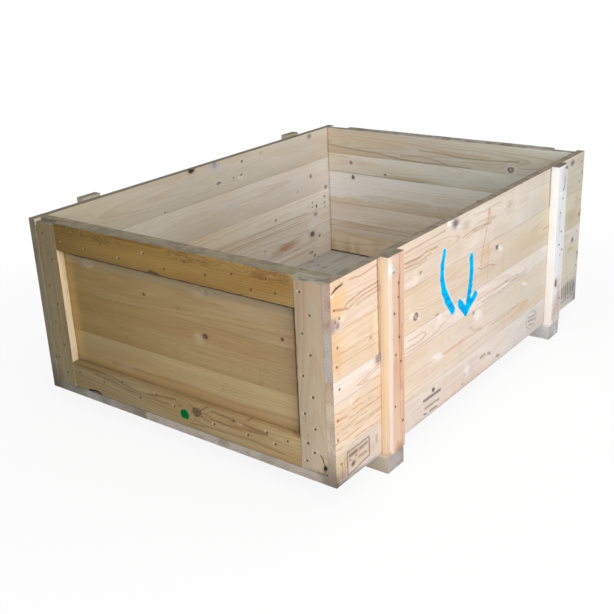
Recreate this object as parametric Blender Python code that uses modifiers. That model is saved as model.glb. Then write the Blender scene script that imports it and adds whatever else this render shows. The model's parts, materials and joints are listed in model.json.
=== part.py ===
"""Open-top wooden shipping crate of nailed pine boards, standing on two skids.

Metres, +Z up. The origin is on the ground, in the middle of the crate's plan.
+X runs along the crate. The front side faces -Y and the left end faces -X.
"""
import math

import bmesh
import bpy

# Size of the box, without its skids and battens
LENGTH = 1.600              # over the ends of the side boards
WIDTH = 1.150               # over the outer faces of the side boards
WALL_HEIGHT = 0.580         # side walls, bottom edge to top edge

# Tongue-and-groove boards
BOARD_THICKNESS = 0.027
BOARD_COVER = 0.137         # face width of a full board, without its tongue
BOARD_ARRIS = 0.0008        # chamfer along each face edge
TONGUE_HEIGHT = 0.0085
TONGUE_THICKNESS = 0.0070
TONGUE_CHAMFER = 0.0012
GROOVE_CLEARANCE = 0.0004   # on each side of the tongue
TIP_CLEARANCE = 0.0008      # between the tongue's tip and the groove's bottom
NARROWEST_BOARD = 0.030     # a strip under this width stays part of its neighbour

# Face widths of the ripped and full boards from the bottom up; the top board takes the rest
FRONT_COURSES = (0.103, 0.142, 0.064, 0.133)
BACK_COURSES = (0.096, 0.134, 0.086, 0.136)
LEFT_COURSES = (0.053, 0.137, 0.135, 0.136)
RIGHT_COURSES = (0.092, 0.130, 0.137, 0.082)

# Frames outside the end boards
FRAME_WIDTH = 0.088
FRAME_THICKNESS = 0.026
POST_DROP = 0.009           # the posts end this far below the rim
END_BOARD_LIFT = 0.006      # open joint between the floor and the lowest end board

# Battens outside the side boards
BATTEN_WIDTH = 0.078
BATTEN_THICKNESS = 0.029
BATTEN_INSET = 0.218        # from the end of the crate to the batten's outer edge
FRONT_BATTEN_RISE = 0.004   # above the rim
BACK_BATTEN_RISE = 0.008

# Skids across the crate, under the floor
SKID_WIDTH = 0.084
SKID_HEIGHT = 0.051
SKID_SHIFT = -0.012         # along X, from the centre line of the battens above

STICK_ARRIS = 0.0015        # chamfer on frames, battens and skids
GAP = 0.0003                # between pieces that touch

# Levels and widths that follow from the sizes above
BOX_BOTTOM = SKID_HEIGHT + GAP
DECK_TOP = BOX_BOTTOM + BOARD_THICKNESS
RIM = BOX_BOTTOM + WALL_HEIGHT
CLEAR_WIDTH = WIDTH - 2 * (BOARD_THICKNESS + GAP)
BATTEN_X = LENGTH / 2 - BATTEN_INSET - BATTEN_WIDTH / 2

# Turns a board's outline, drawn in XY and extruded along Z, so that it runs along X
ON_EDGE = (math.pi / 2, 0, math.pi / 2)
LYING_FLAT = (0, -math.pi / 2, 0)


def clear_scene():
    """Remove every object, so that the crate starts in an empty scene."""
    for obj in list(bpy.data.objects):
        bpy.data.objects.remove(obj, do_unlink=True)


def wood(name, colour, roughness):
    """A plain wood material."""
    material = bpy.data.materials.new(name)
    material.use_nodes = True
    shader = material.node_tree.nodes["Principled BSDF"]
    shader.inputs["Base Color"].default_value = (*colour, 1)
    shader.inputs["Roughness"].default_value = roughness
    shader.inputs["Metallic"].default_value = 0
    return material


def assembly(name, crate, location, turn):
    """An empty that carries one wall; its +X runs along the wall and its -Y faces outwards."""
    empty = bpy.data.objects.new(name, None)
    empty.location = location
    empty.rotation_euler = (0, 0, turn)
    crate.objects.link(empty)
    return empty


def add_piece(name, mesh, crate, parent, material):
    """Link a mesh as one named piece of the crate."""
    mesh.name = name
    mesh.materials.clear()
    mesh.materials.append(material)
    piece = bpy.data.objects.new(name, mesh)
    piece.parent = parent
    crate.objects.link(piece)
    return piece


def board_outline(low, high, groove, tongue):
    """Cross-section of a board from low to high: X is through the board and Y is across its face."""
    half = BOARD_THICKNESS / 2
    slot = TONGUE_THICKNESS / 2 + GROOVE_CLEARANCE
    depth = TONGUE_HEIGHT - GAP + TIP_CLEARANCE
    key = TONGUE_THICKNESS / 2
    shoulder = high - GAP if tongue else high
    tip = shoulder + TONGUE_HEIGHT
    points = [(-half, low + BOARD_ARRIS), (-half + BOARD_ARRIS, low)]
    if groove:
        points += [(-slot, low), (-slot, low + depth), (slot, low + depth), (slot, low)]
    points += [(half - BOARD_ARRIS, low), (half, low + BOARD_ARRIS)]
    points += [(half, shoulder - BOARD_ARRIS), (half - BOARD_ARRIS, shoulder)]
    if tongue:
        points += [(key, shoulder), (key, tip - TONGUE_CHAMFER), (key - TONGUE_CHAMFER, tip)]
        points += [(TONGUE_CHAMFER - key, tip), (-key, tip - TONGUE_CHAMFER), (-key, shoulder)]
    points += [(-half + BOARD_ARRIS, shoulder), (-half, shoulder - BOARD_ARRIS)]
    return points


def extruded(name, outline, length):
    """Mesh of a closed flat outline, extruded by half the length each way along Z."""
    curve = bpy.data.curves.new(name, "CURVE")
    curve.dimensions = "2D"
    curve.fill_mode = "BOTH"
    curve.extrude = length / 2
    spline = curve.splines.new("POLY")
    spline.points.add(len(outline) - 1)
    for point, (x, y) in zip(spline.points, outline):
        point.co = (x, y, 0, 1)
    spline.use_cyclic_u = True
    guide = bpy.data.objects.new(name, curve)
    bpy.context.scene.collection.objects.link(guide)
    graph = bpy.context.evaluated_depsgraph_get()
    mesh = bpy.data.meshes.new_from_object(guide.evaluated_get(graph))
    bpy.data.objects.remove(guide, do_unlink=True)
    bpy.data.curves.remove(curve)
    shape = bmesh.new()
    shape.from_mesh(mesh)
    bmesh.ops.remove_doubles(shape, verts=shape.verts, dist=0.00001)
    bmesh.ops.recalc_face_normals(shape, faces=shape.faces)
    shape.to_mesh(mesh)
    shape.free()
    return mesh


def board(name, crate, parent, material, length, face, edges, lower, upper, turn):
    """One board: its outer face at `face` through the wall, between two of the joints in `edges`."""
    low, high = edges
    mesh = extruded(name, board_outline(low, high, lower, upper), length)
    piece = add_piece(name, mesh, crate, parent, material)
    piece.rotation_euler = turn
    middle = face + BOARD_THICKNESS / 2
    piece.location = (0, middle, 0) if turn == ON_EDGE else (0, 0, middle)
    return piece


def boarding(prefix, crate, parent, material, length, face, joints, turn):
    """Boards side by side, with a joint at each height or place in `joints`."""
    last = len(joints) - 2
    for i in range(last + 1):
        name = f"{prefix}_board_{i + 1}"
        edges = (joints[i], joints[i + 1])
        board(name, crate, parent, material, length, face, edges, i > 0, i < last, turn)


def joints_of(start, height, courses):
    """Heights of the joints: the listed courses first, then full boards, then the rest."""
    top = start + height
    joints = [start]
    for width in courses:
        if top - joints[-1] - width > NARROWEST_BOARD:
            joints.append(joints[-1] + width)
    while top - joints[-1] > BOARD_COVER + NARROWEST_BOARD:
        joints.append(joints[-1] + BOARD_COVER)
    return joints + [top]


def stick(name, crate, parent, material, low, high):
    """A square-edged length of timber between two corners, with its arrises taken off."""
    size = [b - a for a, b in zip(low, high)]
    shape = bmesh.new()
    bmesh.ops.create_cube(shape, size=1)
    bmesh.ops.scale(shape, vec=size, verts=shape.verts)
    mesh = bpy.data.meshes.new(name)
    shape.to_mesh(mesh)
    shape.free()
    piece = add_piece(name, mesh, crate, parent, material)
    piece.location = [(a + b) / 2 for a, b in zip(low, high)]
    arris = piece.modifiers.new("arris", "BEVEL")
    arris.width = STICK_ARRIS
    arris.segments = 1
    arris.limit_method = "NONE"
    return piece


def side_wall(side, crate, turn, courses, rise, batten_names, boards, timber):
    """Side boards over the full length, with two battens outside them."""
    outward = -1 if turn == 0 else 1
    wall = assembly(f"{side}_side", crate, (0, outward * WIDTH / 2, BOX_BOTTOM), turn)
    joints = joints_of(0, WALL_HEIGHT, courses)
    boarding(f"{side}_side", crate, wall, boards, LENGTH, 0, joints, ON_EDGE)
    for name, x in zip(batten_names, (-BATTEN_X, BATTEN_X)):
        low = (x - BATTEN_WIDTH / 2, -GAP - BATTEN_THICKNESS, 0)
        high = (x + BATTEN_WIDTH / 2, -GAP, WALL_HEIGHT + rise)
        stick(name, crate, wall, timber, low, high)


def end_wall(end, crate, turn, courses, post_names, boards, timber):
    """End boards between the side walls, with a frame of two posts and two rails outside them."""
    outward = -1 if turn < 0 else 1
    wall = assembly(f"{end}_end", crate, (outward * LENGTH / 2, 0, DECK_TOP), turn)
    height = RIM - DECK_TOP
    joints = joints_of(END_BOARD_LIFT, height - END_BOARD_LIFT, courses)
    face = FRAME_THICKNESS + GAP
    boarding(f"{end}_end", crate, wall, boards, CLEAR_WIDTH, face, joints, ON_EDGE)
    half = CLEAR_WIDTH / 2
    post_x = half - FRAME_WIDTH
    for name, x in zip(post_names, (-half, post_x)):
        low = (x, 0, GAP)
        high = (x + FRAME_WIDTH, FRAME_THICKNESS, height - POST_DROP)
        stick(f"{end}_frame_{name}_post", crate, wall, timber, low, high)
    rail_x = post_x - GAP
    for name, z in (("bottom", GAP), ("top", height - FRAME_WIDTH)):
        low = (-rail_x, 0, z)
        high = (rail_x, FRAME_THICKNESS, z + FRAME_WIDTH)
        stick(f"{end}_frame_{name}_rail", crate, wall, timber, low, high)


def floor(crate, boards):
    """Lengthwise floor boards that fill the width between the side walls."""
    count = round(CLEAR_WIDTH / BOARD_COVER)
    joints = [CLEAR_WIDTH * (i / count - 0.5) for i in range(count + 1)]
    boarding("floor", crate, None, boards, LENGTH, BOX_BOTTOM, joints, LYING_FLAT)


def skids(crate, timber):
    """Two skids across the crate, flush with the outer faces of the battens."""
    reach = WIDTH / 2 + GAP + BATTEN_THICKNESS
    for name, x in (("skid_left", -BATTEN_X), ("skid_right", BATTEN_X)):
        middle = x + SKID_SHIFT
        low = (middle - SKID_WIDTH / 2, -reach, 0)
        high = (middle + SKID_WIDTH / 2, reach, SKID_HEIGHT)
        stick(name, crate, None, timber, low, high)


def build():
    """Make the whole crate."""
    clear_scene()
    crate = bpy.data.collections.new("shipping_crate")
    bpy.context.scene.collection.children.link(crate)

    side_pine = wood("side_pine", (0.72, 0.50, 0.29), 0.65)
    end_pine = wood("end_pine", (0.55, 0.37, 0.18), 0.70)
    floor_pine = wood("floor_pine", (0.42, 0.35, 0.26), 0.80)
    frame_pine = wood("frame_pine", (0.50, 0.31, 0.12), 0.70)
    batten_pine = wood("batten_pine", (0.74, 0.47, 0.28), 0.65)
    skid_pine = wood("skid_pine", (0.40, 0.36, 0.31), 0.85)

    front_battens = ("front_batten_left", "front_batten_right")
    back_battens = ("back_batten_right", "back_batten_left")
    side_wall("front", crate, 0, FRONT_COURSES, FRONT_BATTEN_RISE, front_battens, side_pine, batten_pine)
    side_wall("back", crate, math.pi, BACK_COURSES, BACK_BATTEN_RISE, back_battens, side_pine, batten_pine)
    end_wall("left", crate, -math.pi / 2, LEFT_COURSES, ("back", "front"), end_pine, frame_pine)
    end_wall("right", crate, math.pi / 2, RIGHT_COURSES, ("front", "back"), end_pine, frame_pine)
    floor(crate, floor_pine)
    skids(crate, skid_pine)


build()
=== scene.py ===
import json
import math
import bmesh
import bpy
import numpy as np
from mathutils import Euler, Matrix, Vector

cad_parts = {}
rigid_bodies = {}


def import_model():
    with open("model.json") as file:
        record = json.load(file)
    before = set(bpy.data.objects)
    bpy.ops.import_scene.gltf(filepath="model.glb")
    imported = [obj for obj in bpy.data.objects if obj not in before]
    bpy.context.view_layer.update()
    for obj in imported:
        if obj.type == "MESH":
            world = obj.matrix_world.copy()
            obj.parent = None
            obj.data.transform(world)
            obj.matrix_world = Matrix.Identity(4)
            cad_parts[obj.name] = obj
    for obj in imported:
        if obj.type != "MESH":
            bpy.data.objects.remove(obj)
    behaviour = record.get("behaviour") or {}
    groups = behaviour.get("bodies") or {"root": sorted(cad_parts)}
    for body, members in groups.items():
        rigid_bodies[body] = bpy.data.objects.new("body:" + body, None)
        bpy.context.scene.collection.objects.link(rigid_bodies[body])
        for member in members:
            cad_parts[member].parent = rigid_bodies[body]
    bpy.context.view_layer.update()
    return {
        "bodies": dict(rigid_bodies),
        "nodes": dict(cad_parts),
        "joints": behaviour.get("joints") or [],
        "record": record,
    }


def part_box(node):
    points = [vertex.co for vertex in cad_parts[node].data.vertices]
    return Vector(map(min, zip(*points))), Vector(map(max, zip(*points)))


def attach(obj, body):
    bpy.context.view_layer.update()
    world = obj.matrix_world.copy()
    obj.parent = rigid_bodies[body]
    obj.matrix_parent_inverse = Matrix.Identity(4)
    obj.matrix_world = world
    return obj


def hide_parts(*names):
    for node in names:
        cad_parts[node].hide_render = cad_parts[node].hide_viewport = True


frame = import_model()

# Sizes from the frame
BOX_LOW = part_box("front_side_board_1")[0]       # lower front left corner of the box
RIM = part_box("front_side_board_5")[1].z
WALL = RIM - BOX_LOW.z                          # wall height, the unit for places on the walls
BOX_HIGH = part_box("back_side_board_5")[1]
LENGTH = (BOX_HIGH.x - BOX_LOW.x) / WALL        # of the box, in wall heights
WIDTH = (BOX_HIGH.y - BOX_LOW.y) / WALL

# Boards
TONGUE_HEIGHT = 0.0085
TONGUE_THICKNESS = 0.0070
GROOVE_DEPTH = 0.0090
GROOVE_WIDTH = 0.0078
BOARD_ARRIS = 0.0008
STICK_ARRIS = 0.0022
BOARD_WEAR = 0.0006         # of an arris
STICK_WEAR = 0.0012
WEAR_SPACING = 0.11         # of worn stretches along an arris
DENT_SPACING = 0.025
STATION_STEP = 0.008        # between cross-sections along a piece
ARC_STEPS = 3               # segments round an arris
SMOOTH_ANGLE = 40           # degrees, above which an edge is sharp
CUT_SMOOTH_ANGLE = 35

# Nails
HEAD_RADIUS = 0.0028
SHANK_RADIUS = 0.0015
NAIL_SIDES = 12
NAIL_LENGTHS = {"frame": 0.050, "batten": 0.052, "corner": 0.055, "floor": 0.060}
NAIL_SHAKE = 0.008          # in wall heights, by which hidden nails differ from the visible ones
NAIL_LEAN = 0.05
LEAST_SUNK, MOST_SUNK = 0.0006, 0.0016
DIMPLE_RADIUS = 0.0041
DIMPLE_DEPTH = 0.0024
DIMPLE_SIDES = 10

# Camera of the photograph
CAMERA_PLACE = (-2.5384, -1.8513, 1.4348)
CAMERA_TURN = (68.182, 2.423, -53.159)          # degrees
CAMERA_LENS = 55.816
CAMERA_SENSOR = 36

# Lights and floor
WORLD_LIGHT = 0.28
WHITE = (1, 1, 1, 1)
FLOOR_COLOUR = (0.9, 0.9, 0.9, 1)
FLOOR_SIZE = 14
FLOOR_DROP = 0.0005         # keeps the floor clear of the skids' undersides
FLOOR_FADE = (0.9, 2.3, 0.90, 1.0)              # from 90% to all of the background's white, by distance
LAMPS = {
    "key": dict(place=(-1.8, -3.0, 1.7), target=(-0.6, -0.5, 0.4), width=2.0, height=2.0, power=61),
    "top": dict(place=(-0.2, -0.6, 3.6), target=(0, 0, 0.3), width=2.6, height=2.2, power=50),
    "corner": dict(place=(-2.9, -3.6, 2.6), target=(-0.4, 0, 0.4), width=1.6, height=1.6, power=11),
}

AXES = {"x": 0, "y": 1, "z": 2}


def srgb(code):
    """Linear colour of a hex code, with an alpha of 1."""
    values = [int(code[i:i + 2], 16) / 255 for i in (0, 2, 4)]
    return tuple(v / 12.92 if v <= 0.04045 else ((v + 0.055) / 1.055) ** 2.4 for v in values) + (1,)


# Geometry of the timber

def soft_noise(rng, places, spacing):
    """Smooth noise from -1 to 1 along a line."""
    scaled = (places - places[0]) / spacing
    values = rng.uniform(-1, 1, int(scaled[-1]) + 3)
    low = scaled.astype(int)
    t = scaled - low
    t = t * t * (3 - 2 * t)
    return values[low] * (1 - t) + values[low + 1] * t


def rounded(points, radii):
    """A closed outline with its corners turned to arcs, and each point's direction into the corner."""
    result = []
    count = len(points)
    for i, (point, radius) in enumerate(zip(points, radii)):
        p = np.array(point, float)
        if not radius:
            result.append((p, None))
            continue
        before = np.array(points[i - 1], float) - p
        after = np.array(points[(i + 1) % count], float) - p
        before /= np.linalg.norm(before)
        after /= np.linalg.norm(after)
        inward = before + after
        for k in range(ARC_STEPS + 1):
            t = k / ARC_STEPS
            turn = (before * (1 - t) ** 2 + after * t ** 2) * radius
            result.append((p + turn, inward / np.linalg.norm(inward)))
    return result


def swept(name, run, across, through, low, high, points, radii, seed, wear):
    """A length of timber: a rounded outline swept along the grain, its arrises worn here and there."""
    rng = np.random.RandomState(seed)
    start, end = low[AXES[run]], high[AXES[run]]
    stations = np.linspace(start, end, max(3, round((end - start) / STATION_STEP)) + 1)
    corner_wear = {}
    rows = []
    for p, inward in rounded(points, radii):
        line = np.tile(p, (len(stations), 1))
        if inward is not None:
            key = tuple(np.round(inward, 3)) + tuple(np.round(p, 2))
            if key not in corner_wear:
                dents = np.clip(soft_noise(rng, stations, DENT_SPACING) - 0.45, 0, 1) * 1.6
                corner_wear[key] = wear * (0.25 * (1 + soft_noise(rng, stations, WEAR_SPACING)) + dents)
            line += corner_wear[key][:, None] * inward
        rows.append(line)
    grid = np.stack(rows, 1)
    verts = np.zeros(grid.shape[:2] + (3,))
    verts[..., AXES[run]] = stations[:, None]
    verts[..., AXES[across]] = grid[..., 0]
    verts[..., AXES[through]] = grid[..., 1]
    n, m = verts.shape[:2]
    faces = [(i * m + j, i * m + (j + 1) % m, (i + 1) * m + (j + 1) % m, (i + 1) * m + j)
             for i in range(n - 1) for j in range(m)]
    faces.append(tuple(range(m))[::-1])
    faces.append(tuple((n - 1) * m + j for j in range(m)))
    return solid(name, verts.reshape(-1, 3).tolist(), faces)


def solid(name, verts, faces):
    """An object of a closed mesh, smooth apart from its real edges."""
    mesh = bpy.data.meshes.new(name)
    mesh.from_pydata(verts, [], faces)
    shape = bmesh.new()
    shape.from_mesh(mesh)
    bmesh.ops.recalc_face_normals(shape, faces=shape.faces)
    shape.to_mesh(mesh)
    shape.free()
    mesh.shade_smooth()
    mesh.set_sharp_from_angle(angle=math.radians(SMOOTH_ANGLE))
    piece = bpy.data.objects.new(name, mesh)
    bpy.context.scene.collection.objects.link(piece)
    return piece


def board_points(low, high, near, far, groove, tongue):
    """Outline of a tongue-and-groove board, with the radius of each corner."""
    middle = (near + far) / 2
    slot = GROOVE_WIDTH / 2
    key = TONGUE_THICKNESS / 2
    shoulder = high - TONGUE_HEIGHT if tongue else high
    points = [((low, near), BOARD_ARRIS)]
    if groove:
        points += [((low, middle - slot), 0), ((low + GROOVE_DEPTH, middle - slot), 0)]
        points += [((low + GROOVE_DEPTH, middle + slot), 0), ((low, middle + slot), 0)]
    points += [((low, far), BOARD_ARRIS), ((shoulder, far), BOARD_ARRIS)]
    if tongue:
        points += [((shoulder, middle + key), 0), ((high, middle + key), 0.001)]
        points += [((high, middle - key), 0.001), ((shoulder, middle - key), 0)]
    points += [((shoulder, near), BOARD_ARRIS)]
    return [p for p, r in points], [r for p, r in points]


class Timber:
    """One wooden piece in the place of a node, and how its grain lies."""

    def __init__(self, node, run, across, through, seed, groove=False, tongue=False, board=False):
        self.node = node
        self.name = node.replace("board", "plank") if board else node + "_timber"
        self.run, self.across, self.through = run, across, through
        self.seed = seed
        self.low, self.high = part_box(node)
        self.cuts = []
        a, t = AXES[across], AXES[through]
        if board:
            points, radii = board_points(self.low[a], self.high[a], self.low[t], self.high[t], groove, tongue)
            wear = BOARD_WEAR
        else:
            points = [(self.low[a], self.low[t]), (self.high[a], self.low[t]),
                      (self.high[a], self.high[t]), (self.low[a], self.high[t])]
            radii = [STICK_ARRIS] * 4
            wear = STICK_WEAR
        self.piece = swept(self.name, run, across, through, self.low, self.high, points, radii, seed, wear)
        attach(self.piece, "root")
        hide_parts(node)

    def middle(self):
        """Middle of the node's box."""
        return [(a + b) / 2 for a, b in zip(self.low, self.high)]

    def carve(self):
        """Cuts the waiting shapes out of the piece."""
        if not self.cuts:
            return
        for cutter in self.cuts:
            modifier = self.piece.modifiers.new("cut", "BOOLEAN")
            modifier.operation = "DIFFERENCE"
            modifier.solver = "EXACT"
            modifier.material_mode = "TRANSFER"
            modifier.object = cutter
        graph = bpy.context.evaluated_depsgraph_get()
        mesh = bpy.data.meshes.new_from_object(self.piece.evaluated_get(graph))
        self.piece.modifiers.clear()
        self.piece.data = mesh
        mesh.shade_smooth()
        mesh.set_sharp_from_angle(angle=math.radians(CUT_SMOOTH_ANGLE))
        for cutter in self.cuts:
            bpy.data.objects.remove(cutter)
        self.cuts = []


def make_timbers():
    """Every wooden piece of the crate."""
    timbers = {}
    seed = 0
    walls = (("front_side", "x", "z", "y", 5), ("back_side", "x", "z", "y", 5),
             ("left_end", "y", "z", "x", 5), ("right_end", "y", "z", "x", 5), ("floor", "x", "y", "z", 8))
    for wall, run, across, through, count in walls:
        for i in range(1, count + 1):
            seed += 1
            node = f"{wall}_board_{i}"
            timbers[node] = Timber(node, run, across, through, seed, i > 1, i < count, board=True)
    ends, sides = ("left", "right"), ("front", "back")
    sticks = [(f"{end}_frame_{side}_post", "z", "y", "x") for end in ends for side in sides]
    sticks += [(f"{end}_frame_{level}_rail", "y", "z", "x") for end in ends for level in ("top", "bottom")]
    sticks += [(f"{side}_batten_{end}", "z", "x", "y") for side in sides for end in ends]
    sticks += [(f"skid_{end}", "y", "x", "z") for end in ends]
    for node, run, across, through in sticks:
        seed += 1
        timbers[node] = Timber(node, run, across, through, seed)
    return timbers


# Nails and the damage to the wood

def spun(profile, place, into, sides):
    """Points and faces of a profile of (radius, depth) rings spun about the direction into the wood."""
    into = Vector(into)
    side = into.orthogonal().normalized()
    other = into.cross(side)
    verts, faces = [], []
    for radius, depth in profile:
        for k in range(sides):
            turn = 2 * math.pi * k / sides
            outward = side * math.cos(turn) + other * math.sin(turn)
            verts.append(Vector(place) + into * depth + outward * radius)
    for i in range(len(profile) - 1):
        for k in range(sides):
            m = (k + 1) % sides
            faces.append((i * sides + k, i * sides + m, (i + 1) * sides + m, (i + 1) * sides + k))
    faces.append(tuple(range(sides)))
    faces.append(tuple((len(profile) - 1) * sides + k for k in range(sides)))
    return verts, faces


def joined(name, parts):
    """One object of several closed shapes."""
    verts, faces = [], []
    for part_verts, part_faces in parts:
        faces += [tuple(i + len(verts) for i in face) for face in part_faces]
        verts += part_verts
    return solid(name, verts, faces)


def nail_profile(sunk, length):
    """A flat-headed wire nail, a little domed, whose head lies just under the surface."""
    r, s = HEAD_RADIUS, SHANK_RADIUS
    head = [(0.25 * r, 0), (0.7 * r, 0.0001), (0.93 * r, 0.0003), (r, 0.0006), (r, 0.0012),
            (0.85 * r, 0.0015)]
    shank = [(1.25 * s, 0.0019), (s, 0.003), (s, length - 0.006), (0.6 * s, length - 0.0025),
             (0.1 * s, length)]
    return [(radius, depth + sunk) for radius, depth in head + shank]


def drive(timbers, name, rows, length, seed, steel, bruised):
    """Nails at the given (node, place, direction into the wood), with a dimple round each head."""
    rng = np.random.RandomState(seed)
    parts, dimples = [], {}
    for node, place, into in rows:
        into = Vector(into)
        lean = Vector(rng.uniform(-NAIL_LEAN, NAIL_LEAN, 3))
        lean -= into * lean.dot(into)
        sunk = rng.uniform(LEAST_SUNK, MOST_SUNK)
        parts.append(spun(nail_profile(sunk, length), place, (into + lean).normalized(), NAIL_SIDES))
        wide = DIMPLE_RADIUS * rng.uniform(0.9, 1.25)
        profile = [(wide * 1.15, -0.001), (wide, 0), (HEAD_RADIUS * 1.1, sunk + 0.0006),
                   (HEAD_RADIUS * 1.05, DIMPLE_DEPTH + 0.001)]
        dimples.setdefault(node, []).append(spun(profile, place, into, DIMPLE_SIDES))
    nails = joined(name, parts)
    nails.data.materials.append(steel)
    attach(nails, "root")
    for node, shapes in dimples.items():
        cutter = joined(node + "_dimples", shapes)
        cutter.data.materials.append(bruised)
        timbers[node].cuts.append(cutter)


def lump(name, centre, radii, turn, seed, roughness, material):
    """A rough rounded cutter for chips, hollows and wane."""
    rng = np.random.RandomState(seed)
    shape = bmesh.new()
    bmesh.ops.create_icosphere(shape, subdivisions=3, radius=1)
    waves = [(Vector(rng.normal(size=3)) * 2.2, rng.uniform(0, 6.28)) for _ in range(5)]
    rotation = Euler(turn).to_matrix()
    for vert in shape.verts:
        swell = sum(math.sin(vert.co.dot(wave) + shift) for wave, shift in waves) / 5
        local = vert.co * (1 + roughness * swell)
        vert.co = Vector(centre) + rotation @ Vector(a * b for a, b in zip(local, radii))
    mesh = bpy.data.meshes.new(name)
    shape.to_mesh(mesh)
    shape.free()
    cutter = bpy.data.objects.new(name, mesh)
    bpy.context.scene.collection.objects.link(cutter)
    mesh.materials.append(material)
    return cutter


def wall_place(face, along, height):
    """Point in metres of a place given in wall heights on one face of the crate."""
    z = BOX_LOW.z + height * WALL
    x, y = BOX_LOW.x + along * WALL, BOX_LOW.y + along * WALL
    return {"front": (x, BOX_LOW.y, z), "front_batten": (x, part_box("front_batten_left")[0].y, z),
            "back": (x, BOX_HIGH.y, z), "back_batten": (x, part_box("back_batten_left")[1].y, z),
            "left": (BOX_LOW.x, y, z), "right": (BOX_HIGH.x, y, z)}[face]


# Directions into the wood
INTO = {"front": (0, 1, 0), "back": (0, -1, 0), "left": (1, 0, 0), "right": (-1, 0, 0), "floor": (0, 0, -1)}

# Nail places on the left frame, along the end and up, in wall heights
TOP_RAIL_NAILS = ((0.3, 0.897), (0.35, 0.955), (0.44, 0.887), (0.55, 0.94), (0.715, 0.905), (0.845, 0.947),
                  (0.985, 0.887), (1.12, 0.942), (1.3, 0.887), (1.43, 0.94), (1.555, 0.893), (1.66, 0.945),
                  (1.735, 0.9))
BOTTOM_RAIL_NAILS = ((0.275, 0.162), (0.35, 0.124), (0.4, 0.172), (0.52, 0.122), (0.61, 0.172),
                     (0.74, 0.115), (1.01, 0.14), (1.14, 0.17), (1.26, 0.12), (1.39, 0.175), (1.54, 0.135),
                     (1.735, 0.148))
POST_NAILS = ((0.165, 0.93), (0.115, 0.83), (0.16, 0.735), (0.12, 0.64), (0.165, 0.53), (0.115, 0.435),
              (0.165, 0.34), (0.11, 0.275), (0.155, 0.19), (0.12, 0.15), (0.165, 0.095))
BACK_POST_NAILS = ((1.885, 0.93), (1.835, 0.79), (1.89, 0.63), (1.845, 0.53), (1.882, 0.42), (1.838, 0.29),
                   (1.9, 0.2), (1.84, 0.12))

# Up the left corner of the front side, along and up
CORNER_NAILS = ((0.025, 0.868), (0.06, 0.82), (0.04, 0.69), (0.03, 0.6), (0.045, 0.487), (0.025, 0.34),
                (0.022, 0.24), (0.04, 0.11))
BATTEN_NAILS = ((0.463, 0.862), (0.459, 0.795), (0.423, 0.724), (0.464, 0.593), (0.432, 0.514),
                (0.476, 0.465), (0.424, 0.245), (0.491, 0.144))


def board_at(wall, height):
    """Node of a wall's board at a height in metres."""
    for i in range(1, 6):
        node = f"{wall}_board_{i}"
        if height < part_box(node)[1].z - (TONGUE_HEIGHT if i < 5 else 0) or i == 5:
            return node


def drive_all(timbers, steel, bruised, rusty, stained):
    """All nails of the crate: the visible rows as they are, and the hidden ones moved a little."""
    rng = np.random.RandomState(77)

    def rows(places, visible):
        if visible:
            return places
        return [(a + rng.uniform(-NAIL_SHAKE, NAIL_SHAKE), b + rng.uniform(-NAIL_SHAKE, NAIL_SHAKE))
                for a, b in places]

    frame = {"top_rail": TOP_RAIL_NAILS, "bottom_rail": BOTTOM_RAIL_NAILS, "front_post": POST_NAILS,
             "back_post": BACK_POST_NAILS}
    for end, seed in (("left", 3), ("right", 4)):
        nails = [(f"{end}_frame_{part}", wall_place(end, a, b), INTO[end]) for part, places in frame.items()
                 for a, b in rows(places, end == "left")]
        drive(timbers, f"{end}_frame_nails", nails, NAIL_LENGTHS["frame"], seed, steel, bruised)
    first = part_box("front_batten_left")[0].x
    for side in ("front", "back"):
        nails = []
        for end in ("left", "right"):
            node = f"{side}_batten_{end}"
            offset = (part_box(node)[0].x - first) / WALL
            nails += [(node, wall_place(side + "_batten", a + offset, b), INTO[side])
                      for a, b in rows(BATTEN_NAILS, node == "front_batten_left")]
        drive(timbers, f"{side}_batten_nails", nails, NAIL_LENGTHS["batten"], 5, steel, bruised)
        nails = []
        for end in ("left", "right"):
            for a, b in rows(CORNER_NAILS, (side, end) == ("front", "left")):
                place = wall_place(side, a if end == "left" else LENGTH - a, b)
                nails.append((board_at(side + "_side", place[2]), place, INTO[side]))
        drive(timbers, f"{side}_corner_nails", nails, NAIL_LENGTHS["corner"], 6, rusty, stained)
    nails = []
    for i in range(1, 9):
        node = f"floor_board_{i}"
        low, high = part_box(node)
        for end in ("left", "right"):
            skid_low, skid_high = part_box(f"skid_{end}")
            for k, share in enumerate((0.27, 0.70)):
                x = skid_low.x + (skid_high.x - skid_low.x) * (0.35 if (k + i) % 2 else 0.65)
                nails.append((node, (x, low.y + (high.y - low.y) * share, high.z), INTO["floor"]))
    drive(timbers, "floor_nails", nails, NAIL_LENGTHS["floor"], 8, steel, bruised)


def split_cutter(name, points, near, far, material):
    """A ragged split: an outline of (along x, up z, half height) points, cut from near to far in y."""
    upper = [(x, z + h) for x, z, h in points]
    lower = [(x, z - h) for x, z, h in points][::-1]
    outline = upper + lower
    n = len(outline)
    middle_z = sum(z for x, z, h in points) / len(points)
    verts = [(x, near, z) for x, z in outline]
    verts += [(x, far, middle_z + (z - middle_z) * 0.75) for x, z in outline]
    faces = [(i, (i + 1) % n, n + (i + 1) % n, n + i) for i in range(n)]
    faces += [tuple(range(n)), tuple(range(2 * n - 1, n - 1, -1))]
    cutter = solid(name, verts, faces)
    cutter.data.materials.append(material)
    return cutter


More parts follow.
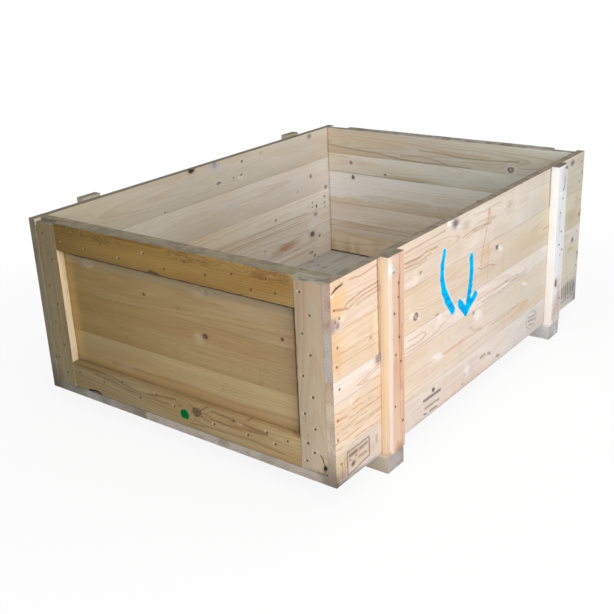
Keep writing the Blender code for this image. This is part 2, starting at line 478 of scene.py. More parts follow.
# The split at the front's top left corner: along, up and half height, in wall heights
CORNER_SPLIT = ((0.006, 0.947, 0.0004), (0.016, 0.9505, 0.0022), (0.024, 0.954, 0.003),
                (0.031, 0.9555, 0.0058), (0.038, 0.96, 0.004), (0.046, 0.9615, 0.0052),
                (0.056, 0.965, 0.0026), (0.07, 0.9655, 0.0034), (0.09, 0.968, 0.0006))
SPLIT_DEPTH = 0.007
LUMP_ROUGHNESS = 0.25


def damage(timbers, torn, hollow, chipped):
    """Splits, chips, wane and hollows of the wood."""
    points = [(BOX_LOW.x + a * WALL, BOX_LOW.z + b * WALL, c * WALL) for a, b, c in CORNER_SPLIT]
    timbers["front_side_board_5"].cuts.append(
        split_cutter("corner_split", points, BOX_LOW.y - 0.001, BOX_LOW.y + SPLIT_DEPTH, torn))

    left = BOX_LOW.x
    bottom_rail, top_rail = (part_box(f"left_frame_{level}_rail")[0].z for level in ("bottom", "top"))
    hollow_y, wane_y = (wall_place("left", along, 0)[1] for along in (1.625, 1.06))
    notch = wall_place("back", 1.215, 1.0)
    batten, far_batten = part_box("front_batten_left")[0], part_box("front_batten_right")
    post, far_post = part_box("left_frame_front_post")[0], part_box("left_frame_back_post")
    cuts = (
        ("left_frame_bottom_rail", hollow, (left - 0.002, hollow_y, bottom_rail + 0.003),
         (0.020, 0.031, 0.009), (0, 0, 0)),
        ("left_frame_top_rail", torn, (left, wane_y, top_rail - 0.001), (0.007, 0.030, 0.006), (0, 0, 0)),
        ("back_side_board_5", hollow, (notch[0], notch[1] - 0.027, notch[2]),
         (0.011, 0.012, 0.0045), (0, 0, 0)),
        ("front_batten_left", chipped, (batten.x, batten.y, batten.z + 0.004),
         (0.006, 0.006, 0.010), (0.3, 0.2, 0)),
        ("front_batten_right", chipped, (far_batten[1].x, far_batten[0].y, far_batten[1].z),
         (0.010, 0.008, 0.012), (0.2, 0.4, 0)),
        ("left_frame_front_post", chipped, (post.x, post.y + 0.002, post.z),
         (0.006, 0.012, 0.006), (0, 0.3, 0)),
        ("left_frame_back_post", chipped, (far_post[0].x, far_post[1].y, far_post[1].z - 0.003),
         (0.005, 0.009, 0.008), (0.4, 0, 0.2)))
    for seed, (node, wood, centre, radii, turn) in enumerate(cuts, 1):
        cutter = lump(node + "_cut", centre, radii, turn, seed, LUMP_ROUGHNESS, wood)
        timbers[node].cuts.append(cutter)


# Materials

# Tones that every piece shares
KNOT_RINGS = "8A6C5C"
END_RINGS = "B08F70"
END_PORES = "A09080"
END_GREY = "B8B4AC"
WORN_RIM = "6C6353"
SOIL = "77746B"             # near the box's lower corners
UNDERSIDE = "8C8478"

# Noise scales of pine per metre: along the grain, across it and through the piece
JITTER_SCALE = (14, 60, 60)
WARMTH_SCALE = (2.2, 14, 14)
MOTTLE_SCALE = (5, 30, 30)
STREAK_SCALE = (3.5, 190, 190)
FIBRE_SCALE = (22, 900, 900)

# Noise scales of marks per wall height: along and up
PATCHY_SCALE = (14, 40, 1)
FLAKY_SCALE = (45, 110, 1)

# Pine
RING_SHAKE = 0.0022         # metres, by which fine noise moves a ring
RING_WANDER = 2.2           # rings, by which noise crowds and spreads them
LATE_RISE, LATE_FALL = (0.30, 0.86), (1.0, 0.92)        # of late wood, in shares of a ring
KNOT_RAGGED = 0.5           # radii, of a knot's outline
BEND_FALL = 0.45            # per radius, of the rings' bend round a knot
GRAIN_RELIEF = 0.0006       # metres
SHINE, PAINT_SHINE = 0.3, 0.02

# How squarely a surface faces, from where a look starts to where it is full
SHOWN_FADE = (0.05, 0.35)
FACING_FADE = (0.6, 0.9)
UPWARD_FADE, DOWNWARD_FADE = (0.55, 0.9), (-0.55, -0.9)

# Marks, in wall heights
MARK_RAGGED = 0.010         # of a mark's outline
END_FADE = 0.05             # at the ends of wavy grain lines
GLINT_ASIDE, GLINT_OVER = 0.008, 0.002          # of a painted highlight from its nail


class Net:
    """Short calls that make the nodes of one material or world and join them."""

    def __init__(self, owner, empty=False):
        owner.use_nodes = True
        self.owner = owner
        self.tree = owner.node_tree
        self.painted = None
        if empty:
            self.tree.nodes.clear()
        else:
            self.shader = self.tree.nodes["Principled BSDF"]

    def put(self, kind, inputs, output=0, **settings):
        """A node with its inputs joined to sockets or set to values; None leaves an input alone."""
        node = self.tree.nodes.new("ShaderNode" + kind)
        for key, value in settings.items():
            setattr(node, key, value)
        for key, value in (inputs.items() if isinstance(inputs, dict) else enumerate(inputs)):
            if isinstance(value, bpy.types.NodeSocket):
                self.tree.links.new(value, node.inputs[key])
            elif value is not None:
                node.inputs[key].default_value = value
        return node.outputs if output is None else node.outputs[output]

    def math(self, operation, *values):
        """A number worked out from numbers."""
        return self.put("Math", values, operation=operation)

    def times(self, a, b):
        """a * b"""
        return self.math("MULTIPLY", a, b)

    def minus(self, a, b):
        """a - b"""
        return self.math("SUBTRACT", a, b)

    def scaled(self, value, factor, offset):
        """value * factor + offset"""
        return self.math("MULTIPLY_ADD", value, factor, offset)

    def vector(self, operation, *values, output=0):
        """A vector worked out from vectors."""
        return self.put("VectorMath", values, output, operation=operation)

    def length(self, vector):
        """Length of a vector."""
        return self.vector("LENGTH", vector, output=1)

    def local(self, place, along, up, turn, half_length=1, half_height=1):
        """A place as seen from a mark: from its middle, turned with it and in its own half sizes."""
        middle = (along, up, 0)
        if turn:
            place = self.put("VectorRotate", (place, middle, None, -turn), rotation_type="Z_AXIS")
        place = self.vector("SUBTRACT", place, middle)
        if (half_length, half_height) == (1, 1):
            return place
        return self.vector("MULTIPLY", place, (1 / half_length, 1 / half_height, 1))

    def fade(self, value, start, end, low=0, high=1):
        """Smooth step from low at start to high at end."""
        return self.put("MapRange", (value, start, end, low, high), interpolation_type="SMOOTHSTEP")

    def noise(self, vector, scale, detail=2, output=0):
        """Noise of about 0.5; scale is one number, or one for each axis."""
        if isinstance(scale, tuple):
            vector = self.vector("MULTIPLY", vector, scale)
            scale = 1
        return self.put("TexNoise", {"Vector": vector, "Scale": scale, "Detail": detail}, output)

    def mix(self, factor, a, b, blend="MIX"):
        """A colour between two."""
        return self.put("Mix", {0: factor, 6: a, 7: b}, 2, data_type="RGBA", blend_type=blend)

    def background_ray(self):
        """1 on rays that show the background."""
        rays = self.put("LightPath", (), None)
        shown = rays["Is Camera Ray"]
        for ray in ("Is Glossy Ray", "Is Transmission Ray"):
            shown = self.math("MAXIMUM", shown, rays[ray])
        return shown

    def line_noise(self, along, detail):
        """Noise of about 0.5 along one number."""
        return self.put("TexNoise", {"W": along, "Scale": 1, "Detail": detail}, noise_dimensions="1D")

    def nearest(self, distances):
        """The least of some numbers."""
        least = distances[0]
        for distance in distances[1:]:
            least = self.math("MINIMUM", least, distance)
        return least

    def lay(self, mask, colour, code, blend="MIX"):
        """A colour laid on another where a mask and the face that shows meet."""
        return self.mix(self.times(mask, self.shown), colour, srgb(code), blend)

    def darken(self, factor, colour, code):
        """A colour darkened by another."""
        return self.mix(factor, colour, srgb(code), "MULTIPLY")

    def ramp(self, value, stops, output=0):
        """Colours, or alphas for output 1, at places from 0 to 1."""
        outputs = self.put("ValToRGB", (value,), None)
        ramp = outputs[0].node.color_ramp
        for place, colour in stops[2:]:
            ramp.elements.new(place)
        for element, (place, colour) in zip(ramp.elements, stops):
            element.position = place
        for element, (place, colour) in zip(ramp.elements, stops):
            element.color = colour
        return outputs if output is None else outputs[output]

    def finish(self, colour, roughness, normal):
        """The finished material of a colour, a roughness and a normal."""
        self.tree.links.new(colour, self.shader.inputs["Base Color"])
        self.tree.links.new(normal, self.shader.inputs["Normal"])
        if isinstance(roughness, bpy.types.NodeSocket):
            self.tree.links.new(roughness, self.shader.inputs["Roughness"])
        else:
            self.shader.inputs["Roughness"].default_value = roughness
        return self.owner


# Knots: (distance from the middle in radii, colour, strength)
KNOTS = {
    "dark": ((0, "4A3224", 1), (0.7, "553A29", 1), (0.95, "30201A", 1), (1.2, "9A6F4C", 0.6),
             (2.2, "B58A62", 0)),
    "black": ((0, "1E1613", 1), (0.7, "241A15", 1), (0.95, "3A281D", 0.9), (1.3, "8A6549", 0.4),
              (2.0, "8A6549", 0)),
    "purple": ((0, "7C6A70", 1), (0.45, "94838A", 0.95), (0.85, "B0A0A2", 0.8), (1.2, "DCCEC6", 0.6),
               (2.3, "F2E9E2", 0)),
    "mauve": ((0, "9E8A8C", 0.95), (0.4, "AE9A9A", 0.9), (0.75, "9A8688", 0.9), (1.0, "B8A6A2", 0.8),
              (1.4, "DCCABE", 0.5), (2.2, "E8D2C4", 0)),
    "ring": ((0, "D6C6B6", 0.8), (0.5, "BDA898", 0.9), (0.78, "62504C", 0.95), (1.0, "7A6660", 0.85),
             (1.3, "E4D6C6", 0.6), (2.2, "F0E4D6", 0)),
    "hoop": ((0, "8E867E", 0.85), (0.4, "BDB5AA", 0.7), (0.75, "675E5A", 0.95), (1.0, "8A827C", 0.8),
             (1.3, "ECE9E2", 0.7), (2.4, "F2F0EA", 0)),
    "brown": ((0, "6A4E38", 1), (0.6, "7A5C44", 1), (0.95, "5A4130", 0.9), (1.3, "A98661", 0.5),
              (2.2, "B9966E", 0)),
    "pale": ((0, "84786E", 0.9), (0.45, "9A8E82", 0.85), (0.8, "7E7268", 0.8), (1.05, "BFB6A0", 0.8),
             (1.6, "C6BC9E", 0.5), (2.6, "BCB08C", 0)),
    "faint": ((0, "8E6F50", 0.8), (0.8, "94745A", 0.6), (1.2, "B89872", 0.3), (1.8, "B89872", 0)),
    "grey": ((0, "6E645A", 0.9), (0.5, "857A70", 0.85), (0.95, "9A9086", 0.7), (1.4, "D9D2C8", 0.35),
             (2.4, "EFEBE4", 0)),
    "slate": ((0, "5A4C4A", 1), (0.6, "70625E", 0.95), (0.95, "5E5048", 0.85), (1.3, "B5ADA4", 0.5),
              (2.4, "EAE6E0", 0)),
    "target": ((0, "4E3E2E", 1), (0.4, "6E5E48", 1), (0.75, "7A6850", 1), (0.95, "584632", 1),
               (1.25, "A88C60", 0.5), (2.2, "BFA272", 0)),
    "dot": ((0, "453A30", 1), (0.8, "54463A", 1), (1.2, "E0D8C4", 0.8), (2.4, "E4DCC8", 0)),
    "eye": ((0, "9A7C58", 0.35), (0.6, "A88A66", 0.2), (1.4, "B89872", 0))}
KNOT_REACH = 3.0            # radii that a knot's colours cover


def knot(along, up, radius, kind="dark", stretch=1.25, turn=0.0, bend=0.010):
    """A knot at a place in wall heights, which bends the rings round it."""
    return dict(along=along, up=up, radius=radius, kind=kind, stretch=stretch, turn=turn, bend=bend)


def spot(along, up, half_length, half_height, code, amount, soft=0.9, turn=0.0, rough=0.7, blend="MIX"):
    """A soft-edged, uneven oval patch of colour."""
    def apply(net, colour):
        away = net.length(net.local(net.place, along, up, turn, half_length, half_height))
        uneven = net.scaled(net.patchy, rough, away)
        edge = 1 + rough / 2
        return net.lay(net.fade(uneven, edge, edge - soft, 0, amount), colour, code, blend)
    return apply


def shade(along, up, half_length, half_height, code, amount, soft=0.9, turn=0.0):
    """A spot that darkens what lies under it."""
    return spot(along, up, half_length, half_height, code, amount, soft, turn, blend="MULTIPLY")


def chip(along, up, half_length, half_height, turn=-0.5, code="FBF4EE", amount=0.9):
    """A torn flake of pale, clean wood with a ragged edge."""
    def apply(net, colour):
        away = net.length(net.local(net.place, along, up, turn, half_length, half_height))
        ragged = net.scaled(net.flaky, 2.2, away)
        return net.lay(net.fade(ragged, 2.1, 1.7, 0, amount), colour, code)
    return apply


def squiggle(reach, levels, count, swing, pace, width, code, amount, upright=False):
    """Wavy grain lines one above the other, between two places along and two levels."""
    def apply(net, colour):
        parts = net.put("SeparateXYZ", (net.place,), None)
        along, up = (parts[1], parts[0]) if upright else (parts[0], parts[1])
        wave = net.line_noise(net.times(along, 22 * pace), 0)
        drift = net.put("TexNoise", {"Vector": net.place, "Scale": 14, "Detail": 1})
        shift = net.scaled(drift, swing, net.scaled(wave, 2 * swing, -swing))
        gap = (levels[1] - levels[0]) / max(count - 1, 1)
        level = net.math("DIVIDE", net.minus(net.math("ADD", up, shift), levels[0]), gap)
        nearest = net.math("MINIMUM", net.math("MAXIMUM", net.math("ROUND", level), 0), count - 1)
        away = net.times(net.math("ABSOLUTE", net.minus(level, nearest)), gap)
        mask = net.times(net.fade(away, width, 0, 0, amount), net.fade(net.patchy, 0.38, 0.58))
        for end, inner in ((reach[0], reach[0] + END_FADE), (reach[1], reach[1] - END_FADE)):
            mask = net.times(mask, net.fade(along, end, inner))
        return net.lay(mask, colour, code, "MULTIPLY")
    return apply


def glints(places, code="EBDCBA"):
    """Pale dots beside nail heads: painted highlights where the dents catch the light, and raised splinters.
    """
    def apply(net, colour):
        beside = [(along + GLINT_ASIDE, up + GLINT_OVER) for along, up in places]
        away = net.nearest([net.length(net.local(net.place, *place, 0)) for place in beside])
        ragged = net.scaled(net.flaky, 0.008, away)
        return net.lay(net.fade(ragged, 0.0125, 0.0080, 0, 0.8), colour, code)
    return apply


def stroke_distance(net, points):
    """Distance from a line through points, in wall heights."""
    distances = []
    for (a, b), (c, d) in zip(points, points[1:]):
        half = math.hypot(c - a, d - b) / 2
        local = net.local(net.place, (a + c) / 2, (b + d) / 2, math.atan2(d - b, c - a))
        beyond = net.vector("SUBTRACT", net.vector("ABSOLUTE", local), (half, 0, 0))
        distances.append(net.length(net.vector("MAXIMUM", beyond, (0, 0, 0))))
    return net.nearest(distances)


def line(points, width, code, amount, soft=0.9, blend="MULTIPLY"):
    """A soft line of colour through points."""
    def apply(net, colour):
        edge = width * 0.8
        mask = net.fade(stroke_distance(net, points), edge, edge * (1 - soft), 0, amount * 0.9)
        return net.lay(mask, colour, code, blend)
    return apply


def spray(strokes, tones=("00A6E0", "00C2F8"), halo_tone="D5ECFA"):
    """Sprayed paint with a pale halo: strokes of (along, up, width) points."""
    def apply(net, colour):
        away = None
        for points in strokes:
            for (a, b, first), (c, d, second) in zip(points, points[1:]):
                part = net.minus(stroke_distance(net, [(a, b), (c, d)]), (first + second) / 4)
                away = part if away is None else net.math("SMOOTH_MIN", away, part, 0.012)
        ragged = net.scaled(net.noise(net.place, 60), 0.010, net.minus(away, 0.005))
        colour = net.lay(net.fade(ragged, 0.020, 0.0, 0, 0.6), colour, halo_tone)
        paint = net.mix(net.fade(net.patchy, 0.35, 0.65), srgb(tones[0]), srgb(tones[1]))
        net.painted = net.times(net.fade(ragged, 0.003, -0.003), net.shown)
        return net.mix(net.painted, colour, paint)
    return apply


def face_places(net, timber, look):
    """Places along and up the face that shows, in wall heights, and the noises and mask of that face."""
    unit = net.vector("SUBTRACT", net.at, tuple(BOX_LOW))
    unit = net.put("SeparateXYZ", (net.vector("SCALE", unit, None, None, 1 / WALL),), None)
    along, up = (unit[AXES[axis]] for axis in look["face"])
    face = net.put("CombineXYZ", (along, up, 0))
    ragged = net.vector("MULTIPLY_ADD", net.noise(face, 45, 2, 1), (MARK_RAGGED, MARK_RAGGED, 0), face)
    net.place = net.vector("SUBTRACT", ragged, (MARK_RAGGED / 2, MARK_RAGGED / 2, 0))
    net.rough = net.noise(face, 75)
    net.patchy = net.noise(face, PATCHY_SCALE, 3)
    net.flaky = net.noise(face, FLAKY_SCALE, 3)
    net.shown = net.fade(net.times(net.sides[AXES[timber.through]], look["shown"]), *SHOWN_FADE)
    return along, up


def year_rings(net, timber, look, grain, moved):
    """Late wood of the rings about the pith line, and the distances from the knots that bend them."""
    sway = net.vector("SUBTRACT", net.noise(moved, look["sway_scale"], 2, 1), (0.5, 0.5, 0.5))
    jitter = net.vector("SUBTRACT", net.noise(moved, JITTER_SCALE, 2, 1), (0.5, 0.5, 0.5))
    off = net.vector("MULTIPLY_ADD", sway, (0, look["sway"], look["sway"]), grain)
    off = net.vector("MULTIPLY_ADD", jitter, (0, RING_SHAKE, RING_SHAKE), off)
    u, v, w = net.put("SeparateXYZ", (off,), None)
    pith_v, pith_w = look["pith"]
    depth = net.scaled(u, look["slope"], net.minus(w, pith_w))
    radius = net.length(net.put("CombineXYZ", (net.minus(v, pith_v), depth, 0)))
    distances = []
    for one in look["knots"]:
        lies = net.local(net.place, one["along"], one["up"], one["turn"], one["radius"] * one["stretch"],
                         one["radius"])
        away = net.scaled(net.rough, KNOT_RAGGED, net.minus(net.length(lies), KNOT_RAGGED / 2))
        distances.append(away)
        if one["bend"]:
            hill = net.scaled(away, BEND_FALL, 0)
            hill = net.math("EXPONENT", net.times(net.times(hill, hill), -1))
            radius = net.scaled(hill, one["bend"], radius)
    wander = net.line_noise(net.times(radius, 45), 2)
    count = net.scaled(wander, RING_WANDER, net.math("DIVIDE", radius, look["ring"]))
    part = net.math("FRACT", count)
    late = net.times(net.fade(part, *LATE_RISE), net.fade(part, *LATE_FALL))
    strength = net.put("TexWhiteNoise", {"W": net.math("ADD", net.math("FLOOR", count), 7.0 + timber.seed)},
                       noise_dimensions="1D")
    return net.times(late, net.scaled(strength, 0.75, 0.35)), distances


def clear_wood(net, look, where, moved):
    """Colour of the wood without knots and marks, by the place along it from 0 to 1."""
    # Three tones from one end to the other: the wood's own colour, and painted light and shade that falls off
    # along the walls
    start, middle, end = look["tones"]
    colour = net.ramp(where, ((0.06, srgb(start)), (0.5, srgb(middle)), (0.94, srgb(end))))
    colour = net.darken(net.times(net.late, look["contrast"]), colour, look["late"])
    warmth = net.fade(net.noise(moved, WARMTH_SCALE, 3), 0.42, 0.68, 0, look["blush"])
    colour = net.darken(warmth, colour, look["blush_tone"])
    net.streak = net.noise(moved, STREAK_SCALE, 3)
    net.fibre = net.noise(moved, FIBRE_SCALE, 2)
    mottle = net.noise(moved, MOTTLE_SCALE, 3)
    tint = 1
    for name, pattern in (("streak", net.streak), ("fibre", net.fibre), ("mottle", mottle)):
        tint = net.scaled(net.minus(pattern, 0.5), look[name], tint)
    net.tint = net.put("CombineColor", (tint, tint, tint))
    colour = net.mix(1, colour, net.tint, "MULTIPLY")
    # Tints by the side a face turns to: painted light and shade, one side of a piece lighter or darker than
    # its others
    for axis, sign, code, amount in look["faces"]:
        side_light_tint = net.fade(net.times(net.sides[AXES[axis]], sign), *FACING_FADE, 0, amount)
        colour = net.darken(side_light_tint, colour, code)
    return colour


def knot_colours(net, look, distances, colour):
    """The knots laid on the wood."""
    for one, away in zip(look["knots"], distances):
        stops = [(d / KNOT_REACH, srgb(code)[:3] + (alpha,)) for d, code, alpha in KNOTS[one["kind"]]]
        outputs = net.ramp(net.math("DIVIDE", away, KNOT_REACH), stops, None)
        core = net.mix(0.6, outputs[0], net.tint, "MULTIPLY")
        core = net.darken(net.times(net.late, 0.45), core, KNOT_RINGS)
        colour = net.mix(outputs[1], colour, core)
    return colour


def weathered(net, timber, look, colour):
    """End grain, the worn rim and grime laid on the wood."""
    grey = net.noise(net.at, 16, 3)
    cut = net.fade(net.math("ABSOLUTE", net.sides[AXES[timber.run]]), *FACING_FADE)
    rings = net.mix(net.times(net.late, 0.35), srgb(look["end"]), srgb(END_RINGS), "MULTIPLY")
    pores = net.noise(net.at, 260, 2)
    rings = net.darken(net.fade(pores, 0.62, 0.40, 0, 0.22), rings, END_PORES)
    rings = net.darken(net.fade(grey, 0.45, 0.70, 0, 0.6), rings, END_GREY)
    colour = net.mix(cut, colour, rings)
    if look["rim"]:
        worn = net.scaled(net.noise(net.at, 40, 3), 0.5, net.times(grey, 0.5))
        rim = net.mix(net.fade(worn, 0.42, 0.60), srgb(look["rim"]), srgb(WORN_RIM))
        rim = net.mix(1, rim, net.tint, "MULTIPLY")
        colour = net.mix(net.fade(net.sides[2], *UPWARD_FADE), colour, rim)
    corner = (BOX_HIGH.x, BOX_HIGH.y, BOX_LOW.z)
    from_corner = net.vector("SUBTRACT", net.vector("ABSOLUTE", net.at), corner)
    soil = net.length(net.vector("MULTIPLY", from_corner, (1, 1, 0.8)))
    soil = net.fade(net.scaled(grey, 0.10, soil), 0.135, 0.045, 0, 0.75)
    colour = net.darken(soil, colour, SOIL)
    return net.darken(net.fade(net.sides[2], *DOWNWARD_FADE, 0, 0.55), colour, UNDERSIDE)


def pine(timber, look):
    """Planed pine cut from a log: rings about a pith line, fibres, knots, stains and marks."""
    net = Net(bpy.data.materials.new(timber.name))
    rng = np.random.RandomState(1000 + timber.seed)
    net.at = net.put("TexCoord", (), 3)
    net.sides = net.put("SeparateXYZ", (net.put("NewGeometry", (), 1),), None)
    local = net.put("SeparateXYZ", (net.vector("SUBTRACT", net.at, tuple(timber.middle())),), None)
    grain = net.put("CombineXYZ", [local[AXES[axis]] for axis in (timber.run, timber.across, timber.through)])
    moved = net.vector("ADD", grain, tuple(rng.uniform(-50, 50, 3)))
    along, up = face_places(net, timber, look)
    net.late, distances = year_rings(net, timber, look, grain, moved)
    where = up
    if timber.run != "z":
        where = net.math("DIVIDE", along, LENGTH if look["face"][0] == "x" else WIDTH)
    colour = clear_wood(net, look, where, moved)
    colour = knot_colours(net, look, distances, colour)
    for mark in look["marks"]:
        colour = mark(net, colour)
    colour = weathered(net, timber, look, colour)

    height = net.scaled(net.streak, 0.5, net.scaled(net.late, 0.35, net.times(net.fibre, 0.6)))
    bump = net.put("Bump", {"Strength": 0.35, "Distance": GRAIN_RELIEF, "Height": height})
    shine = net.shader.inputs["Specular IOR Level"]
    shine.default_value = SHINE
    if net.painted:
        net.tree.links.new(net.scaled(net.painted, PAINT_SHINE - SHINE, SHINE), shine)
    return net.finish(colour, net.scaled(net.streak, 0.25, 0.58), bump)


def dark_wood(name, inner, outer):
    """Bruised or torn wood inside dimples and splits, and painted shade inside hollows."""
    net = Net(bpy.data.materials.new(name))
    at = net.put("TexCoord", (), 3)
    colour = net.mix(net.fade(net.noise(at, 320, 3), 0.35, 0.65), srgb(inner), srgb(outer))
    bump = net.put("Bump", {"Strength": 0.6, "Distance": 0.0008, "Height": net.noise(at, 500, 3)})
    return net.finish(colour, 0.85, bump)


def nail_steel(name, plain, rusted):
    """Dull wire-nail steel with rust in patches."""
    net = Net(bpy.data.materials.new(name))
    at = net.put("TexCoord", (), 3)
    rust = net.fade(net.noise(at, 14, 3), 0.50, 0.72)
    fine = net.noise(at, 700, 2)
    colour = net.mix(rust, srgb(plain), srgb(rusted))
    colour = net.mix(net.fade(fine, 0.35, 0.7, 0, 0.35), colour, srgb("3A342E"))
    net.shader.inputs["Metallic"].default_value = 0.1
    bump = net.put("Bump", {"Strength": 0.3, "Distance": 0.0002, "Height": fine})
    return net.finish(colour, 0.6, bump)


# Looks of the pieces

# What a piece's look has unless its own says otherwise
BASE = dict(
    ring=0.0062, pith=(0.01, -0.09), slope=0.02, sway=0.018, sway_scale=(1.6, 4, 4), contrast=0.34,
    late="C9A27A", blush=0.35, blush_tone="F0DCC4", mottle=0.12, streak=0.16, fibre=0.22, knots=(),
    marks=(), rim=None, end="CDBBA6", shown=-1, faces=(), tones=("E2CEB8", "E2CEB8", "E2CEB8"))

# Generic sprayed strokes: a bent slash and an arrow that points down
SPRAY = ([(0.975, 0.852, 0.028), (0.955, 0.79, 0.036), (0.952, 0.72, 0.04), (0.972, 0.645, 0.044),
          (1.015, 0.575, 0.052), (1.068, 0.507, 0.04)],
         [(1.262, 0.742, 0.036), (1.268, 0.66, 0.042), (1.258, 0.58, 0.044), (1.222, 0.455, 0.05)],
         [(1.142, 0.52, 0.04), (1.212, 0.448, 0.05), (1.315, 0.512, 0.038)])

# Faint crayon lines
CRAYON = [
    line([(1.455, 0.955), (1.44, 0.87), (1.4, 0.76), (1.372, 0.66)], 0.014, "DFA68E", 0.5),
    line([(1.35, 0.652), (1.385, 0.632), (1.46, 0.636), (1.545, 0.61)], 0.009, "C48A74", 0.55),
    line([(1.455, 0.75), (1.458, 0.56)], 0.012, "E6B8A0", 0.4),
    shade(1.46, 0.93, 0.035, 0.035, "F0BFAE", 0.6),
    shade(1.43, 0.7, 0.12, 0.09, "F7DCC6", 0.5)]

# A generic ink frame with bars and dots in it, low at the front's left corner
FRAME_STAMP = [
    line([(0.09, 0.02), (0.088, 0.142), (0.268, 0.146), (0.272, 0.045), (0.1, 0.024)], 0.01, "827A72", 0.75,
         0.8),
    spot(0.112, 0.095, 0.01, 0.01, "4E4842", 0.8, 0.8),
    spot(0.16, 0.098, 0.012, 0.008, "5E5750", 0.7, 0.8),
    line([(0.11, 0.118), (0.165, 0.12)], 0.02, "6E665E", 0.8),
    line([(0.19, 0.118), (0.25, 0.12)], 0.018, "7C746B", 0.7),
    spot(0.135, 0.066, 0.026, 0.02, "4E4842", 0.85, 0.8),
    line([(0.185, 0.078), (0.245, 0.076)], 0.014, "989088", 0.6),
    line([(0.048, 0.03), (0.048, 0.112)], 0.009, "989088", 0.5),
    line([(0.068, 0.03), (0.068, 0.128)], 0.009, "989088", 0.45),
    spot(0.335, 0.1, 0.016, 0.04, "8A8683", 0.6)]

# Generic ink bars and a dot along the front's lowest board
BAR_STAMP = [
    line([(0.775, 0.106), (0.945, 0.1)], 0.016, "564D45", 0.8, 0.7),
    line([(0.79, 0.057), (0.93, 0.053)], 0.013, "857B71", 0.7, 0.8),
    line([(0.775, 0.03), (0.8, 0.022)], 0.012, "756C64", 0.7, 0.8),
    line([(0.84, 0.022), (0.91, 0.02)], 0.015, "857B71", 0.7, 0.8),
    spot(0.872, 0.131, 0.021, 0.017, "3A322C", 0.9, 0.7),
    line([(1.4, 0.105), (1.45, 0.105)], 0.018, "8B8177", 0.7),
    line([(1.49, 0.098), (1.515, 0.085)], 0.02, "9B9086", 0.7),
    line([(1.6, 0.036), (1.63, 0.03)], 0.018, "8B8177", 0.7),
    spot(1.19, 0.028, 0.02, 0.01, "8B8177", 0.7)]

# A generic ink hexagon with bars in it
HEXAGON_STAMP = [
    line([(1.985, 0.13), (2.0, 0.07), (2.06, 0.035), (2.12, 0.05), (2.14, 0.1), (2.1, 0.148), (2.02, 0.15),
          (1.985, 0.13)], 0.008, "B2AAA0", 0.6),
    line([(2.02, 0.125), (2.11, 0.11)], 0.012, "989088", 0.6),
    line([(2.02, 0.1), (2.12, 0.085)], 0.014, "8F877E", 0.6),
    line([(2.03, 0.072), (2.1, 0.06)], 0.012, "989088", 0.6)]

# Tally bars with a line under them
TALLY = [line([(2.525 + 0.03 * i, 0.152 + 0.004 * (i % 2)), (2.528 + 0.03 * i, 0.08 - 0.006 * (i % 3))],
              0.017, "5A5B54", 0.75 - 0.15 * (i % 3 == 1), 0.8) for i in range(7)]
TALLY.append(line([(2.52, 0.048), (2.71, 0.052)], 0.014, "77776E", 0.5))

